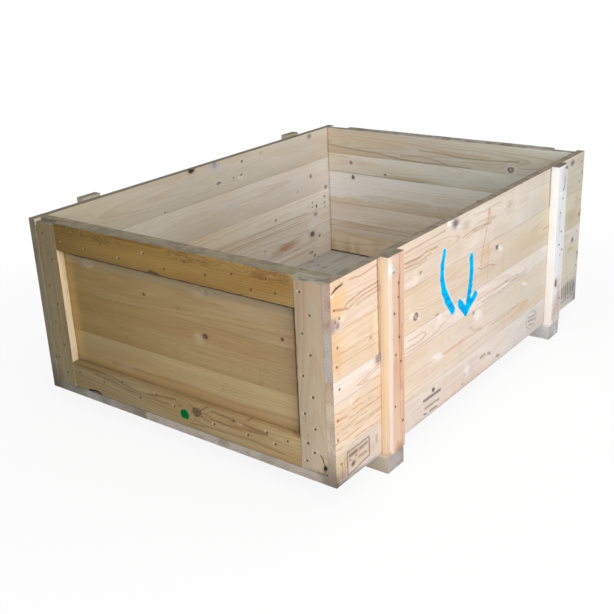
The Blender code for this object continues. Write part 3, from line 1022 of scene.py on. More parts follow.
# Looks of the front's boards from the bottom up
FRONT = {
    1: dict(
        tones=("DFD0C2", "EEE1D8", "DEDDDA"), late="CDB199", contrast=0.24, pith=(0.02, -0.1), slope=0.015,
        end="DCC8B6", knots=(knot(1.213, 0.078, 0.01, "grey", 0.9, bend=0.004),),
        marks=[
            spot(1.235, 0.092, 0.055, 0.062, "F8F3F6", 0.75),
            shade(0.15, 0.09, 0.26, 0.09, "F2DCC6", 0.5),
            shade(1.3, -0.01, 1.6, 0.03, "C9C4BC", 0.7, 0.8),
            spot(0.16, 0.0, 0.24, 0.034, "868A92", 0.85, 1.0, rough=1.2),
            shade(0.0, 0.02, 0.03, 0.07, "7E7A70", 0.8),
            spot(0.03, 0.1, 0.075, 0.11, "F2CFA4", 0.6)] + FRAME_STAMP + BAR_STAMP + HEXAGON_STAMP
        + [shade(2.62, 0.1, 0.14, 0.09, "D6D6CE", 0.6)] + TALLY),
    2: dict(
        tones=("EDD9C2", "EADBCC", "E5DFD0"), late="D3AC82", contrast=0.3, pith=(-0.03, -0.06), slope=0.012,
        end="EFDCC4",
        marks=[
            spot(1.1, 0.29, 0.26, 0.02, "D9A982", 0.5),
            line([(1.26, 0.34), (1.32, 0.3), (1.4, 0.285)], 0.02, "D8BEA8", 0.45, 1.0),
            chip(0.915, 0.302, 0.07, 0.022, -0.35, "F9F1EC", 0.75),
            spot(0.91, 0.3, 0.1, 0.035, "F5E9E0", 0.5, 1.0, -0.3),
            chip(1.352, 0.38, 0.048, 0.036, code="FBF2F2", amount=0.75),
            spot(1.36, 0.37, 0.1, 0.07, "F7ECE6", 0.6, 1.0, -0.5),
            spot(1.3, 0.41, 0.022, 0.018, "9AA094", 0.85, 0.8),
            chip(1.935, 0.372, 0.05, 0.016, -0.35, "F8F2E6", 0.8),
            spot(1.08, 0.353, 0.022, 0.006, "FBF4E8", 0.8, 0.8),
            spot(0.135, 0.39, 0.02, 0.03, "F9EADA", 0.6),
            line([(1.5, 0.262), (1.7, 0.255), (1.85, 0.262)], 0.008, "C0A184", 0.5),
            squiggle((-0.06, 0.4), (0.2, 0.38), 7, 0.01, 0.22, 0.006, "D3A066", 0.65),
            spot(0.02, 0.33, 0.06, 0.05, "F0C794", 0.5),
            line([(0.02, 0.335), (0.1, 0.33)], 0.009, "C9935C", 0.6),
            spot(0.74, 0.385, 0.13, 0.028, "E6CFA8", 0.5),
            spot(2.62, 0.39, 0.09, 0.028, "C9BC92", 0.7),
            spot(2.748, 0.31, 0.014, 0.05, "6E6668", 0.8),
            spot(1.95, 0.215, 0.26, 0.022, "E5C49F", 0.5)]),
    3: dict(
        tones=("F5E5DA", "F6EBE3", "ECEAE4"), late="D9BCA6", contrast=0.26, pith=(0.0, -0.05), slope=0.03,
        end="E6CBB3",
        knots=(knot(0.362, 0.515, 0.024, "mauve", 1.0), knot(2.645, 0.445, 0.015, "grey", 1.2)),
        marks=[
            line([(0.36, 0.485), (0.25, 0.462), (0.18, 0.447), (0.26, 0.432), (0.36, 0.428)], 0.008,
                 "D0AB90", 0.6),
            line([(0.36, 0.47), (0.28, 0.455), (0.23, 0.446), (0.28, 0.44)], 0.007, "D4B49C", 0.55),
            line([(0.6, 0.462), (0.74, 0.458), (0.8, 0.472), (0.78, 0.492), (0.62, 0.495)], 0.008, "CDB09A",
                 0.6),
            line([(0.6, 0.44), (0.8, 0.436), (0.9, 0.445), (0.98, 0.47)], 0.008, "CDB09A", 0.55),
            chip(0.93, 0.52, 0.04, 0.02, -0.35, "F9F2F0", 0.6),
            line([(1.35, 0.466), (1.5, 0.47), (1.62, 0.462), (1.72, 0.468), (1.85, 0.462)], 0.012, "BBA28C",
                 0.45, 1.0),
            line([(1.68, 0.468), (1.74, 0.452), (1.8, 0.447), (1.97, 0.455)], 0.013, "B19A86", 0.45, 1.0),
            line([(1.4, 0.436), (1.65, 0.432), (1.8, 0.44), (1.95, 0.432)], 0.014, "AE8F78", 0.5, 1.0),
            spot(1.62, 0.449, 0.09, 0.011, "FAEDE2", 0.7)]),
    4: dict(
        tones=("EAD1B4", "E7D7C6", "DFD8C3"), late="CFAC84", contrast=0.26, pith=(0.02, -0.07), slope=-0.01,
        end="D8CEC6",
        knots=(knot(0.697, 0.601, 0.019, "ring", 1.0), knot(0.3, 0.64, 0.007, "faint", 1.2),
               knot(1.56, 0.708, 0.011, "slate", 1.3), knot(0.905, 0.535, 0.009, "faint", 1.3)),
        marks=[
            spot(0.0, 0.66, 0.14, 0.16, "E6B078", 0.65, 1.0, rough=0.9),
            spot(0.345, 0.66, 0.045, 0.2, "FAE6C0", 0.4, 1.0),
            # Painted shadow along the left batten's edge
            line([(0.368, 0.54), (0.366, 0.77)], 0.012, "7A5638", 0.7, 0.8),
            chip(1.605, 0.688, 0.036, 0.018, amount=0.8),
            chip(0.655, 0.618, 0.03, 0.018, 0.3, "F9F0E4", 0.6),
            chip(0.725, 0.583, 0.02, 0.014, code="F9F0E4", amount=0.6),
            spot(0.7, 0.72, 0.1, 0.035, "E4CCA6", 0.5),
            spot(1.9, 0.66, 0.4, 0.07, "D9C6A2", 0.5),
            line([(0.04, 0.65), (0.2, 0.655), (0.36, 0.648)], 0.008, "DDBB90", 0.4),
            line([(0.05, 0.6), (0.2, 0.605), (0.34, 0.6)], 0.008, "DDBB90", 0.4),
            line([(0.03, 0.695), (0.075, 0.692)], 0.007, "FBEBC8", 0.6, blend="MIX"),
            spot(2.68, 0.7, 0.045, 0.08, "D2B47A", 0.5, turn=0.5),
            spot(2.748, 0.6, 0.014, 0.045, "6E6668", 0.8),
            spot(2.6, 0.62, 0.14, 0.07, "C6BA8E", 0.6),
            spot(2.18, 0.64, 0.1, 0.1, "F2D9B4", 0.35, 1.0),
            line([(2.18, 0.64), (2.25, 0.645)], 0.01, "B08F6A", 0.6, 0.8)]),
    5: dict(
        tones=("EAD3BE", "ECE1D4", "DCD5C6"), late="CDA77E", contrast=0.32, pith=(0.004, -0.05),
        slope=0.022, sway=0.024, rim="8A7C69", end="DAC2B2",
        knots=(knot(0.006, 0.802, 0.028, "mauve", 1.2), knot(0.047, 0.79, 0.018, "purple", 0.8),
               knot(1.085, 0.97, 0.025, "purple", 1.35), knot(0.742, 0.815, 0.008, "faint", 1.4),
               knot(1.7, 0.915, 0.026, "eye", 1.6, bend=0.016), knot(2.575, 0.962, 0.02, "purple", 1.5),
               knot(1.2, 0.93, 0.03, "eye", 1.2, bend=0.014)),
        marks=[
            spot(0.04, 0.885, 0.14, 0.13, "EDBB72", 0.6, 1.0, rough=0.9),
            spot(0.01, 0.8, 0.06, 0.05, "B49C96", 0.75),
            spot(0.03, 0.812, 0.008, 0.01, "6E5444", 0.8),
            spot(0.085, 0.812, 0.035, 0.022, "F8E6DC", 0.6),
            line([(0.012, 0.949), (0.034, 0.958), (0.09, 0.968)], 0.014, "8E6444", 0.7),
            line([(0.034, 0.958), (0.036, 0.972)], 0.008, "A87C58", 0.6),
            line([(0.02, 0.868), (0.09, 0.852)], 0.012, "A9713C", 0.6),
            # Painted shadows along the edges of both battens
            line([(0.366, 0.76), (0.364, 1.0)], 0.013, "7A5638", 0.8, 0.8),
            line([(2.246, 0.76), (2.244, 1.0)], 0.012, "8A7460", 0.7, 0.8),
            spot(0.012, 0.935, 0.02, 0.02, "F7E3BE", 0.6),
            chip(1.018, 0.985, 0.03, 0.018, -0.3),
            spot(1.12, 0.945, 0.03, 0.02, "F9F0E8", 0.6),
            spot(0.66, 0.79, 0.13, 0.035, "FAE8DC", 0.7, 0.7),
            spot(0.25, 0.785, 0.18, 0.022, "F8E2D6", 0.6, 0.8),
            line([(0.37, 0.892), (0.22, 0.886), (0.13, 0.872), (0.1, 0.852), (0.13, 0.838)], 0.01, "C68E54",
                 0.65),
            line([(0.37, 0.87), (0.24, 0.866), (0.16, 0.853), (0.14, 0.842)], 0.009, "CC9660", 0.6),
            line([(0.37, 0.85), (0.26, 0.846), (0.19, 0.836)], 0.009, "D2A270", 0.55),
            line([(0.14, 0.972), (0.24, 0.962), (0.36, 0.975)], 0.01, "CFA47C", 0.6),
            line([(0.6, 0.955), (0.75, 0.957), (0.98, 0.962)], 0.01, "C4A484", 0.6),
            line([(0.6, 0.902), (0.7, 0.896), (0.8, 0.905), (0.9, 0.9)], 0.012, "BE9C7A", 0.6),
            line([(0.6, 0.88), (0.72, 0.872), (0.84, 0.886)], 0.01, "C4A484", 0.6),
            line([(0.6, 0.862), (0.72, 0.858), (0.8, 0.866)], 0.009, "C4A484", 0.55),
            line([(1.16, 0.872), (1.22, 0.882), (1.31, 0.887), (1.4, 0.878), (1.48, 0.868)], 0.011,
                 "BDA184", 0.5),
            line([(1.2, 0.862), (1.3, 0.872), (1.42, 0.862)], 0.009, "C9B096", 0.4),
            line([(1.28, 0.962), (1.4, 0.952), (1.6, 0.958)], 0.009, "C0A486", 0.4),
            spot(1.3, 0.82, 0.16, 0.045, "F4E6DC", 0.6),
            spot(1.85, 0.8, 0.2, 0.035, "E9E4DE", 0.5),
            spot(2.72, 0.942, 0.03, 0.009, "7C7464", 0.7, 0.8),
            spot(2.745, 0.86, 0.012, 0.05, "8A8480", 0.7),
            spot(2.18, 0.87, 0.09, 0.09, "F2D6BA", 0.35, 1.0)])}

# Paint and crayon that cross the upper boards
for index in (3, 4, 5):
    FRONT[index]["marks"] = FRONT[index]["marks"] + CRAYON * (index > 3) + [spray(SPRAY)]

# Looks of the back's boards; their tones lighten towards the right, partly the wood's colour and partly
# painted light
BACK = {
    1: dict(
        tones=("D2CDC4", "D9D3C7", "E6E0D6"), end="958B72",
        knots=(knot(2.42, 0.1, 0.012, "faint", 2.0), knot(2.46, 0.065, 0.01, "grey", 1.5))),
    2: dict(
        tones=("C5BBA9", "CCBEA8", "F0E9E1"), contrast=0.36, end="958B72",
        knots=(knot(2.44, 0.24, 0.019, "slate", 1.2), knot(2.53, 0.205, 0.01, "grey"),
               knot(1.88, 0.265, 0.007, "faint"), knot(2.49, 0.378, 0.018, "grey", 1.1)),
        marks=[
            spot(2.13, 0.226, 0.22, 0.042, "BA8450", 0.75, turn=0.05),
            line([(2.05, 0.252), (2.2, 0.256), (2.33, 0.266)], 0.007, "A88458", 0.5),
            spot(2.48, 0.33, 0.12, 0.08, "F1EFEC", 0.5),
            spot(2.436, 0.242, 0.026, 0.018, "78686A", 0.7),
            line([(1.5, 0.376), (1.9, 0.372), (2.3, 0.378)], 0.008, "B89E7C", 0.5),
            line([(1.6, 0.358), (2.3, 0.36)], 0.008, "B89E7C", 0.4),
            squiggle((1.85, 2.45), (0.17, 0.2), 2, 0.008, 0.3, 0.007, "B5A288", 0.5)]),
    3: dict(
        tones=("C8BCA6", "DBCEB8", "F9F5EC"), end="958B72",
        knots=(knot(2.02, 0.457, 0.008, "grey"), knot(2.46, 0.478, 0.006, "grey"),
               knot(2.61, 0.49, 0.008, "grey"), knot(2.505, 0.44, 0.009, "slate", 0.9),
               knot(2.455, 0.445, 0.004), knot(2.61, 0.445, 0.007, "grey"),
               knot(2.61, 0.408, 0.005, "grey"), knot(2.57, 0.44, 0.004, "faint")),
        marks=[line([(1.4, 0.412), (2.4, 0.416)], 0.009, "B59F80", 0.5)]),
    4: dict(
        tones=("CAC4B3", "D8D1C2", "F3EDE4"), end="958B72", contrast=0.22,
        knots=(knot(2.45, 0.68, 0.014, "grey", 0.9), knot(2.625, 0.559, 0.012, "black", 1.2),
               knot(2.29, 0.6, 0.006, "faint")),
        marks=[spot(1.55, 0.66, 0.14, 0.06, "D2CFD0", 0.5), spot(2.6, 0.555, 0.05, 0.04, "FAF5EE", 0.6)]),
    5: dict(
        tones=("CAC3AE", "D3CBBB", "ECE4D7"), rim="6E6A5A", contrast=0.18, end="958B72",
        knots=(knot(1.43, 0.985, 0.018, "pale", 1.3), knot(1.7, 0.95, 0.009, "grey", 1.3),
               knot(1.46, 0.857, 0.01, "grey", 2.2), knot(1.605, 0.86, 0.006, "grey"),
               knot(1.685, 0.862, 0.009, "grey"), knot(1.9, 0.97, 0.008, "faint", 1.4),
               knot(2.45, 0.975, 0.016, "faint", 1.4), knot(0.957, 0.789, 0.006, "dot", 1.2),
               knot(1.215, 0.996, 0.016, "black", 1.6)),
        marks=[
            spot(1.44, 0.965, 0.1, 0.05, "CCCCD8", 0.6),
            spot(1.435, 0.975, 0.026, 0.022, "9898AC", 0.7),
            chip(1.68, 0.848, 0.035, 0.01, 0.0, "F4EEE2", 0.8),
            spot(1.95, 0.965, 0.22, 0.03, "DCD5B4", 0.4)])}

# Painted reflected light at the panel's far edge and painted shadow along its near one
PANEL_EDGE_LIGHT_AND_SHADOW = [
    spot(1.765, 0.53, 0.07, 0.62, "D6AE72", 0.5, 1.0),
    line([(0.232, 0.1), (0.232, 0.9)], 0.019, "5F4A32", 0.85)]

# Looks of the left end's boards; their tones darken towards the back, partly the wood's colour and partly
# painted shade
LEFT_END = {
    1: dict(tones=("CCAB7C", "C8A876", "BFA476"), contrast=0.5),
    2: dict(
        tones=("D0B88E", "C1A97C", "A59264"), contrast=0.26, mottle=0.32, streak=0.24,
        knots=(knot(0.7, 0.3, 0.004, "faint"),),
        marks=[
            spot(0.9, 0.225, 1.4, 0.04, "C79A60", 0.45),
            line([(0.2, 0.262), (0.6, 0.243), (0.95, 0.255), (1.5, 0.248)], 0.02, "C8A070", 0.4, 1.0),
            spot(1.4, 0.245, 0.09, 0.035, "B2A286", 0.6)] + PANEL_EDGE_LIGHT_AND_SHADOW),
    3: dict(
        tones=("BFA37A", "B59B6B", "978048"), contrast=0.26, mottle=0.32, streak=0.24, late="B48A56",
        knots=(knot(0.795, 0.56, 0.011, stretch=1.5),),
        marks=[
            spot(0.835, 0.545, 0.06, 0.05, "CFC09A", 0.5),
            squiggle((0.25, 1.05), (0.4, 0.6), 7, 0.006, 0.6, 0.006, "A98654", 0.15)] + PANEL_EDGE_LIGHT_AND_SHADOW),
    4: dict(
        tones=("C9B08C", "B79D6D", "99814D"), contrast=0.22, mottle=0.32, streak=0.24,
        knots=(knot(0.76, 0.794, 0.013, "pale", 1.4, bend=0.006),
               knot(1.6, 0.792, 0.012, "pale", 1.6, bend=0.006), knot(0.31, 0.655, 0.008, "brown", 1.0),
               knot(1.195, 0.7, 0.007, "brown"), knot(0.96, 0.668, 0.007, "faint")),
        marks=[
            spot(1.0, 0.835, 3.2, 0.068, "AC9B7E", 0.6, 0.35, rough=0.3),
            spot(0.82, 0.775, 0.07, 0.03, "CABC9C", 0.35, 1.0),
            spot(1.6, 0.795, 0.06, 0.022, "B3A892", 0.3),
            squiggle((0.25, 1.0), (0.65, 0.75), 5, 0.008, 0.6, 0.006, "A98654", 0.12),
            # Painted shadow along the panel's top, under the top rail
            line([(0.2, 0.826), (1.8, 0.826)], 0.013, "5E4A34", 0.85, 0.8)] + PANEL_EDGE_LIGHT_AND_SHADOW),
    5: dict(
        tones=("C1A88A", "BCA482", "B19A76"), contrast=0.3, rim="857B62",
        marks=[
            spot(0.12, 1.0, 0.11, 0.035, "BDB6A6", 0.9, 0.5),
            spot(1.86, 1.0, 0.14, 0.035, "8E8A7A", 0.95, 0.5)])}

# Painted shade in the inner corner where the right end meets the back
CORNER_SHADE_LINE = [line([(1.927, 0.0), (1.927, 1.0)], 0.010, "8E7A5C", 0.6, 0.9)]

# Looks of the right end's boards; their tones lighten towards the back, partly the wood's colour and partly
# painted light
RIGHT_END = {
    1: dict(tones=("DACAB2", "DFCEB5", "E4D5BB"), marks=[spot(1.5, 0.2, 0.7, 0.02, "C9B58F", 0.5)]),
    2: dict(
        tones=("D6CCBA", "E0D9CA", "EFE5DC"),
        marks=[
            spot(1.6, 0.28, 0.5, 0.028, "CDB592", 0.6),
            line([(1.2, 0.262), (1.95, 0.256)], 0.008, "B09A78", 0.5),
            line([(1.2, 0.292), (1.95, 0.297)], 0.008, "B8A484", 0.4)]),
    3: dict(
        tones=("DEE1DA", "E8E8E1", "FCFBFA"), contrast=0.22,
        knots=(knot(1.71, 0.65, 0.012, "slate", 1.0), knot(0.68, 0.6, 0.01, "slate")),
        marks=[shade(1.2, 0.44, 1.4, 0.09, "EADCC2", 0.7, 0.6)]),
    4: dict(
        tones=("D3D3C4", "E2E5DC", "F1E9DB"), contrast=0.24,
        knots=(knot(1.725, 0.76, 0.011, "grey", 1.2), knot(1.43, 0.7, 0.006, "slate", 1.3)),
        marks=[
            spot(1.2, 0.69, 0.4, 0.022, "BDB492", 0.6),
            line([(1.9, 0.683), (1.1, 0.68)], 0.007, "9A8B6C", 0.5),
            spot(0.87, 0.79, 0.02, 0.015, "F0EEE6", 0.6)]),
    5: dict(
        tones=("DCE0D6", "DCD6C9", "E5D8C2"), contrast=0.34, rim="9A9890",
        knots=(knot(0.455, 0.845, 0.019, "hoop", 1.1),),
        marks=[
            line([(1.95, 0.88), (1.75, 0.862), (1.5, 0.852), (1.3, 0.828), (1.1, 0.822), (0.75, 0.823)],
                 0.012, "9A845E", 0.55, 1.0),
            line([(1.3, 0.85), (1.15, 0.862), (1.05, 0.855), (0.93, 0.828)], 0.009, "A99874", 0.5),
            line([(1.15, 0.905), (0.95, 0.9), (0.8, 0.885), (0.6, 0.89), (0.4, 0.905)], 0.01, "A99874",
                 0.6),
            spot(1.6, 0.93, 0.5, 0.05, "E0CDA8", 0.5)])}

# Looks of the floor
FLOOR = dict(
    tones=("ADA89F", "A5A29A", "AEA89F"), late="9C8C76", contrast=0.35, end="D3C8BC", shown=1, blush=0.3,
    mottle=0.3, streak=0.26)

# End grain that has weathered darker
FLOOR_ENDS = {6: "B4AB9C", 7: "B6B4AE", 8: "9F9D93"}
FLOOR_MARKS = {
    8: [
        spot(2.334, 1.813, 0.026, 0.02, "605850", 0.8),
        spot(2.318, 1.742, 0.032, 0.018, "6A625A", 0.75, 1.0),
        spot(2.5, 1.93, 0.02, 0.012, "4E4640", 0.8),
        spot(2.61, 1.82, 0.07, 0.03, "B4B0B8", 0.5),
        line([(2.45, 1.755), (2.62, 1.745)], 0.016, "8A8478", 0.5),
        shade(2.37, 1.9, 0.06, 0.03, "8E867C", 0.5)]}

# Golden brown of the rails
RAILS = dict(late="A9763A", contrast=0.6, blush=0.5, blush_tone="E6C08A")

# Looks of the posts, rails, battens and skids that show; the left rails' tones darken towards the back,
# partly painted shade
STICKS = {
    "left_frame_front_post": dict(
        tones=("D0BEA4", "CCB99C", "C8AF92"), contrast=0.28, rim="9C988A",
        knots=(knot(0.06, 0.087, 0.014, "black", 0.7, 0.3),
               knot(0.165, 0.31, 0.014, "eye", 0.6, bend=0.016),
               knot(0.15, 0.23, 0.014, "eye", 0.7, bend=0.016)),
        marks=[
            glints(POST_NAILS[:1] + POST_NAILS[3:]),
            line([(0.062, 0.09), (0.072, 0.13), (0.088, 0.15)], 0.009, "5E4630", 0.8, 0.8),
            line([(0.088, 0.15), (0.105, 0.165)], 0.012, "E8DCC8", 0.6, blend="MIX"),
            shade(0.06, 0.03, 0.05, 0.06, "7E7468", 0.7),
            spot(0.1, 0.86, 0.06, 0.08, "C2B8A8", 0.4),
            shade(0.12, 0.04, 0.1, 0.03, "9C948A", 0.6)]),
    "left_frame_back_post": dict(
        # Its outer side darkened by the per-side tint: painted shade with grey weathering, against its bright
        # lit edge
        tones=("F4E4C2", "F4E4C2", "F2E0BE"), contrast=0.25, rim="7F7864", late="C9A678", mottle=0.45,
        streak=0.3, faces=(("x", -1, "A09C8E", 1.0),),
        marks=[
            spot(1.985, 0.5, 0.09, 0.7, "7E7B6E", 0.6),
            squiggle((0.05, 0.98), (1.8, 1.92), 3, 0.012, 0.7, 0.01, "A89E86", 0.4, upright=True),
            spot(1.93, 0.195, 0.018, 0.008, "3A332A", 0.8, 0.7)]),
    "left_frame_top_rail": dict(
        RAILS, tones=("B9995F", "A48447", "866E36"), rim="7F765F", end="ACA592", pith=(0.045, -0.03),
        sway=0.012, contrast=0.45,
        knots=(knot(0.58, 0.985, 0.012, "eye", 2.5, bend=0.012),
               knot(0.3, 1.002, 0.018, "eye", 1.4, bend=0.03),
               knot(0.4, 0.996, 0.014, "eye", 1.8, bend=0.024),
               knot(0.78, 1.002, 0.018, "eye", 1.6, bend=0.03),
               knot(0.9, 0.998, 0.014, "eye", 1.6, bend=0.022),
               knot(1.45, 1.004, 0.018, "eye", 1.8, bend=0.028),
               knot(1.6, 1.0, 0.014, "eye", 1.8, bend=0.022)),
        marks=[
            glints([TOP_RAIL_NAILS[i] for i in (7, 8, 10, 12)], code="E0CC94"),
            squiggle((0.18, 0.46), (0.952, 1.0), 5, 0.016, 0.6, 0.008, "7E5424", 0.45),
            line([(1.03, 0.854), (1.09, 0.86)], 0.009, "5E4220", 0.8),
            squiggle((0.66, 0.98), (0.962, 1.0), 4, 0.016, 0.6, 0.008, "745024", 0.45),
            squiggle((1.25, 1.75), (0.968, 1.0), 3, 0.014, 0.5, 0.009, "785424", 0.35),
            spot(1.0, 0.91, 0.9, 0.05, "B5914E", 0.5)]),
    "left_frame_bottom_rail": dict(
        RAILS, tones=("C8AE80", "B3A078", "96845C"), contrast=0.42, late="AD8450", pith=(0.02, -0.04),
        slope=0.03, sway=0.02,
        knots=(knot(0.855, 0.15, 0.024, "target", 1.05, bend=0.018), knot(0.52, 0.2, 0.006, "faint")),
        marks=[
            glints([BOTTOM_RAIL_NAILS[i] for i in (1, 2, 3, 5, 6, 7)], code="E4D4AC"),
            line([(0.555, 0.166), (0.585, 0.168)], 0.01, "EFE2C8", 0.8, 0.8, "MIX"),
            spot(0.58, 0.156, 0.22, 0.02, "A58250", 0.5, 1.0),
            spray([[(0.938, 0.113, 0.052), (0.946, 0.113, 0.052)]], ("007032", "007A3A"), "A09C6C"),
            line([(0.83, 0.165), (0.795, 0.19), (0.77, 0.197)], 0.008, "7A5530", 0.6),
            line([(0.83, 0.135), (0.8, 0.125), (0.76, 0.118)], 0.008, "7A5530", 0.5),
            line([(0.83, 0.15), (0.79, 0.155)], 0.007, "7A5530", 0.5),
            line([(0.75, 0.185), (0.6, 0.174), (0.5, 0.168), (0.4, 0.163)], 0.016, "A87E4C", 0.55, 1.0),
            line([(0.76, 0.135), (0.62, 0.138), (0.5, 0.147), (0.4, 0.158)], 0.014, "A87E4C", 0.5, 1.0),
            line([(0.9, 0.075), (0.7, 0.092), (0.5, 0.098), (0.3, 0.085)], 0.012, "A88E62", 0.5, 1.0),
            spot(1.62, 0.183, 0.2, 0.026, "86673A", 0.7),
            line([(1.77, 0.195), (1.45, 0.188), (1.38, 0.165), (1.3, 0.15), (1.22, 0.152), (1.12, 0.17),
                  (1.0, 0.18)], 0.012, "94703E", 0.5, 1.0),
            line([(1.6, 0.165), (1.45, 0.16), (1.35, 0.14), (1.2, 0.135), (1.05, 0.14)], 0.011, "94703E",
                 0.45, 1.0)]),
    "front_batten_left": dict(
        tones=("FAE3CB", "FBE3CB", "F9E6D2"), contrast=0.36, late="CF9A78", end="8D8068", rim="8D8068",
        # Per-side tints of painted light and shade: the front face darker than the left face
        faces=(("y", -1, "E5D8D2", 1.0), ("x", -1, "FFFFF3", 1.0)),
        knots=(knot(0.408, 0.948, 0.011, "slate", 0.75), knot(0.418, 0.925, 0.008, "grey", 1.2)),
        marks=[
            # Painted highlight along the outer face's left arris, up to the knot
            spot(0.384, 0.5, 0.034, 1.2, "F3DFD3", 0.8, 0.6, rough=0.3),
            spot(0.395, 0.95, 0.04, 0.055, "F6F0EE", 0.8),
            spot(0.475, 0.35, 0.035, 0.5, "EDB998", 0.5),
            line([(0.466, 0.9), (0.464, 0.6), (0.47, 0.4), (0.478, 0.32)], 0.014, "C98A66", 0.5),
            line([(0.486, 0.66), (0.484, 0.45)], 0.01, "D9A080", 0.5),
            shade(0.47, 0.0, 0.07, 0.055, "B8A090", 0.7, turn=-0.5),
            spot(0.5, 0.012, 0.018, 0.035, "C8C4B4", 0.8, 0.8)]),
    "front_batten_right": dict(
        tones=("FFF6F0", "FFFFFE", "FFFEFC"), contrast=0.1, blush=0.0, mottle=0.06, late="E6DAD0",
        # A faint bluish per-side tint on the front face: painted light
        end="5E5A52", rim="5E5A52", faces=(("y", -1, "F8FAFF", 1.0),),
        knots=(knot(2.29, 0.272, 0.018, stretch=0.6), knot(2.33, 0.44, 0.006, "grey", 0.8)),
        marks=[
            shade(2.35, 0.13, 0.06, 0.24, "DAC2B4", 0.85, 1.0, 0.12),
            spot(2.3, 0.275, 0.03, 0.05, "C09A88", 0.6, 1.0),
            spot(2.345, 0.89, 0.022, 0.07, "B4B9C4", 0.6, rough=1.4),
            spot(2.3, 0.62, 0.016, 0.07, "C6CEDA", 0.6, rough=1.4),
            shade(2.29, 0.08, 0.06, 0.14, "C2B4A8", 0.7),
            shade(2.35, 0.93, 0.09, 0.16, "E2E0DE", 0.7, 1.0),
            spot(2.37, 0.985, 0.04, 0.02, "6F6C68", 0.9),
            spot(2.3, 0.7, 0.02, 0.05, "C9CCD4", 0.6),
            shade(2.3, -0.03, 0.2, 0.06, "B8B0A8", 0.7, 0.8)]),
    "skid_left": dict(
        tones=("CFC4B4", "BAB0A0", "BDB2A4"), contrast=0.3, late="A08C72", end="BCB4B2", streak=0.3,
        fibre=0.35, mottle=0.3),
    "skid_right": dict(
        tones=("DCDCDC", "C0B8AE", "BDB2A4"), contrast=0.3, late="A89C8C", end="D8D8DC", streak=0.3,
        fibre=0.35, mottle=0.3)}

# Sticks that the photograph hides
PLAIN_BATTEN = dict(tones=("CBBDAA", "CFC2AC", "CBBFAC"), rim="807C6E", end="807C6E")
PLAIN_RAIL = dict(RAILS, tones=("B9A37C", "B49C72", "B09A72"), rim="95907F")
PLAIN_POST = dict(tones=("CDBC9C", "D0BF9F", "CAB99A"), rim="8F8878")

RANDOM_KNOTS = ("dark", "brown", "faint", "faint", "ring", "purple", "brown")


def random_knots(timber, flat, upright, seed, count):
    """Knots for pieces that the photograph hides."""
    rng = np.random.RandomState(seed)
    low, high = timber.low, timber.high
    result = []
    for _ in range(count):
        place = [low[i] + (high[i] - low[i]) * rng.uniform(0.12, 0.88) for i in range(3)]
        radius = rng.uniform(0.007, 0.020)
        result.append(knot((place[AXES[flat]] - BOX_LOW[AXES[flat]]) / WALL,
                           (place[AXES[upright]] - BOX_LOW[AXES[upright]]) / WALL,
                           radius, RANDOM_KNOTS[rng.randint(len(RANDOM_KNOTS))],
                           rng.uniform(0.75, 0.95) if timber.run == "z" else rng.uniform(1.1, 1.4)))
    return tuple(result)


def look_of(timber):
    """The look of a piece: its own where the photograph shows it, and its neighbours' otherwise."""
    node = timber.node
    rng = np.random.RandomState(500 + timber.seed)
    number = int(node[-1]) if node[-1].isdigit() else 0
    look = dict(BASE)
    look["pith"] = (rng.uniform(-0.03, 0.03), -rng.uniform(0.04, 0.12))
    look["slope"] = rng.uniform(-0.03, 0.03)
    look["ring"] = rng.uniform(0.0050, 0.0072)
    look["face"] = ("y", "z")
    hidden = 0                                  # knots to add where the photograph shows none
    if node.startswith("front_side"):
        look.update(FRONT[number], face=("x", "z"))
    elif node.startswith("back_side"):
        look.update(BACK[number], face=("x", "z"))
    elif node.startswith("left_end"):
        look.update(late="B98F5C", end="C2AE90")
        look.update(LEFT_END[number])
    elif node.startswith("right_end"):
        look.update(RIGHT_END[number])
        look["marks"] = list(look["marks"]) + CORNER_SHADE_LINE
    elif node.startswith("floor"):
        look.update(FLOOR, face=("x", "y"))
        look["end"] = FLOOR_ENDS.get(number, look["end"])
        look["marks"] = FLOOR_MARKS.get(number, ())
        hidden = 3
    elif node.startswith("skid"):
        look.update(STICKS[node], face=("y", "x"))
        hidden = 2
    elif "batten" in node:
        look["face"] = ("x", "z")
        look.update(STICKS.get(node) or PLAIN_BATTEN)
        hidden = 0 if node in STICKS else 2
    else:
        look.update(STICKS.get(node) or (PLAIN_RAIL if "rail" in node else PLAIN_POST))
        hidden = 0 if node in STICKS else 2
    if hidden:
        look["knots"] = random_knots(timber, *look["face"], 900 + timber.seed, hidden)
    return look


def dress(timbers):
    """Gives every piece its wood."""
    for node, timber in timbers.items():
        timber.piece.data.materials.append(pine(timber, look_of(timber)))


# Stage

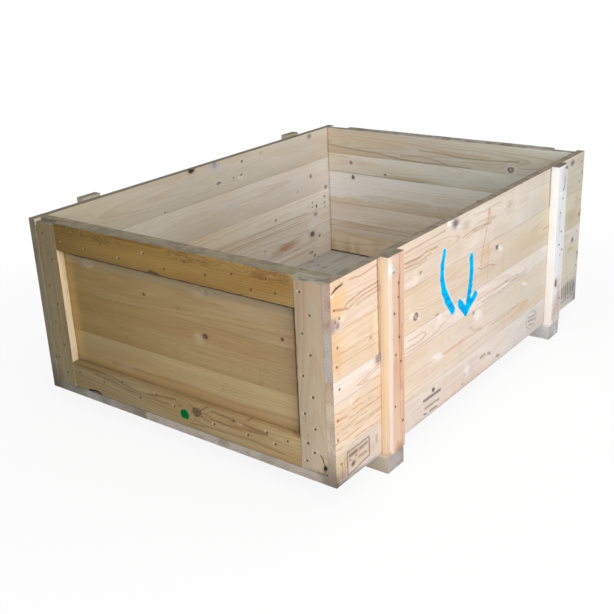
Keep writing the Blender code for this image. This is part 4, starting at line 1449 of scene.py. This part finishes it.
def add_camera():
    """The photograph's camera."""
    data = bpy.data.cameras.new("camera")
    data.lens = CAMERA_LENS
    data.sensor_width = CAMERA_SENSOR
    camera = bpy.data.objects.new("camera", data)
    camera.location = CAMERA_PLACE
    camera.rotation_euler = [math.radians(a) for a in CAMERA_TURN]
    bpy.context.scene.collection.objects.link(camera)
    bpy.context.scene.camera = camera
    bpy.context.scene.view_settings.view_transform = "Standard"


def add_lamp(name, place, target, width, height, power):
    """A soft white area lamp that points at a target."""
    data = bpy.data.lights.new(name, "AREA")
    data.shape = "RECTANGLE"
    data.size = width
    data.size_y = height
    data.energy = power
    obj = bpy.data.objects.new(name, data)
    obj.location = place
    obj.rotation_euler = (Vector(target) - Vector(place)).to_track_quat("-Z", "Y").to_euler()
    bpy.context.scene.collection.objects.link(obj)


def add_stage():
    """Pale floor, white surroundings and soft lamps."""
    for name, values in LAMPS.items():
        add_lamp(name + "_lamp", **values)
    world = bpy.data.worlds.new("studio")
    bpy.context.scene.world = world
    net = Net(world, empty=True)
    light, white = (net.put("Background", (WHITE, strength)) for strength in (WORLD_LIGHT, 1))
    net.put("OutputWorld", (net.put("MixShader", (net.background_ray(), light, white)),), None)

    bpy.ops.mesh.primitive_plane_add(size=FLOOR_SIZE, location=(0, 0, -FLOOR_DROP))
    ground = bpy.context.object
    ground.name = "ground"
    net = Net(bpy.data.materials.new("pale_floor"), empty=True)
    share = net.fade(net.length(net.put("TexCoord", (), 3)), *FLOOR_FADE)
    share = net.times(net.background_ray(), share)
    paper, glow = net.put("BsdfDiffuse", (FLOOR_COLOUR,)), net.put("Emission", (WHITE,))
    net.put("OutputMaterial", (net.put("MixShader", (share, paper, glow)),), None)
    ground.data.materials.append(net.owner)


timbers = make_timbers()
dress(timbers)
bruised = dark_wood("bruised_wood", "6A4E38", "9A7856")
torn = dark_wood("torn_wood", "5A3A26", "8A6242")
drive_all(timbers, nail_steel("nail_steel", "675240", "33261A"), bruised,
          nail_steel("rusty_steel", "86623A", "5E4426"), dark_wood("stained_wood", "9A7448", "C09A68"))
# The near-black wood inside the hollow and the notch is painted shade
damage(timbers, torn, dark_wood("hollow_shade", "14100C", "3A2C20"),
       dark_wood("chipped_wood", "B8A48C", "DCCBB4"))
for timber in timbers.values():
    timber.carve()
add_camera()
add_stage()
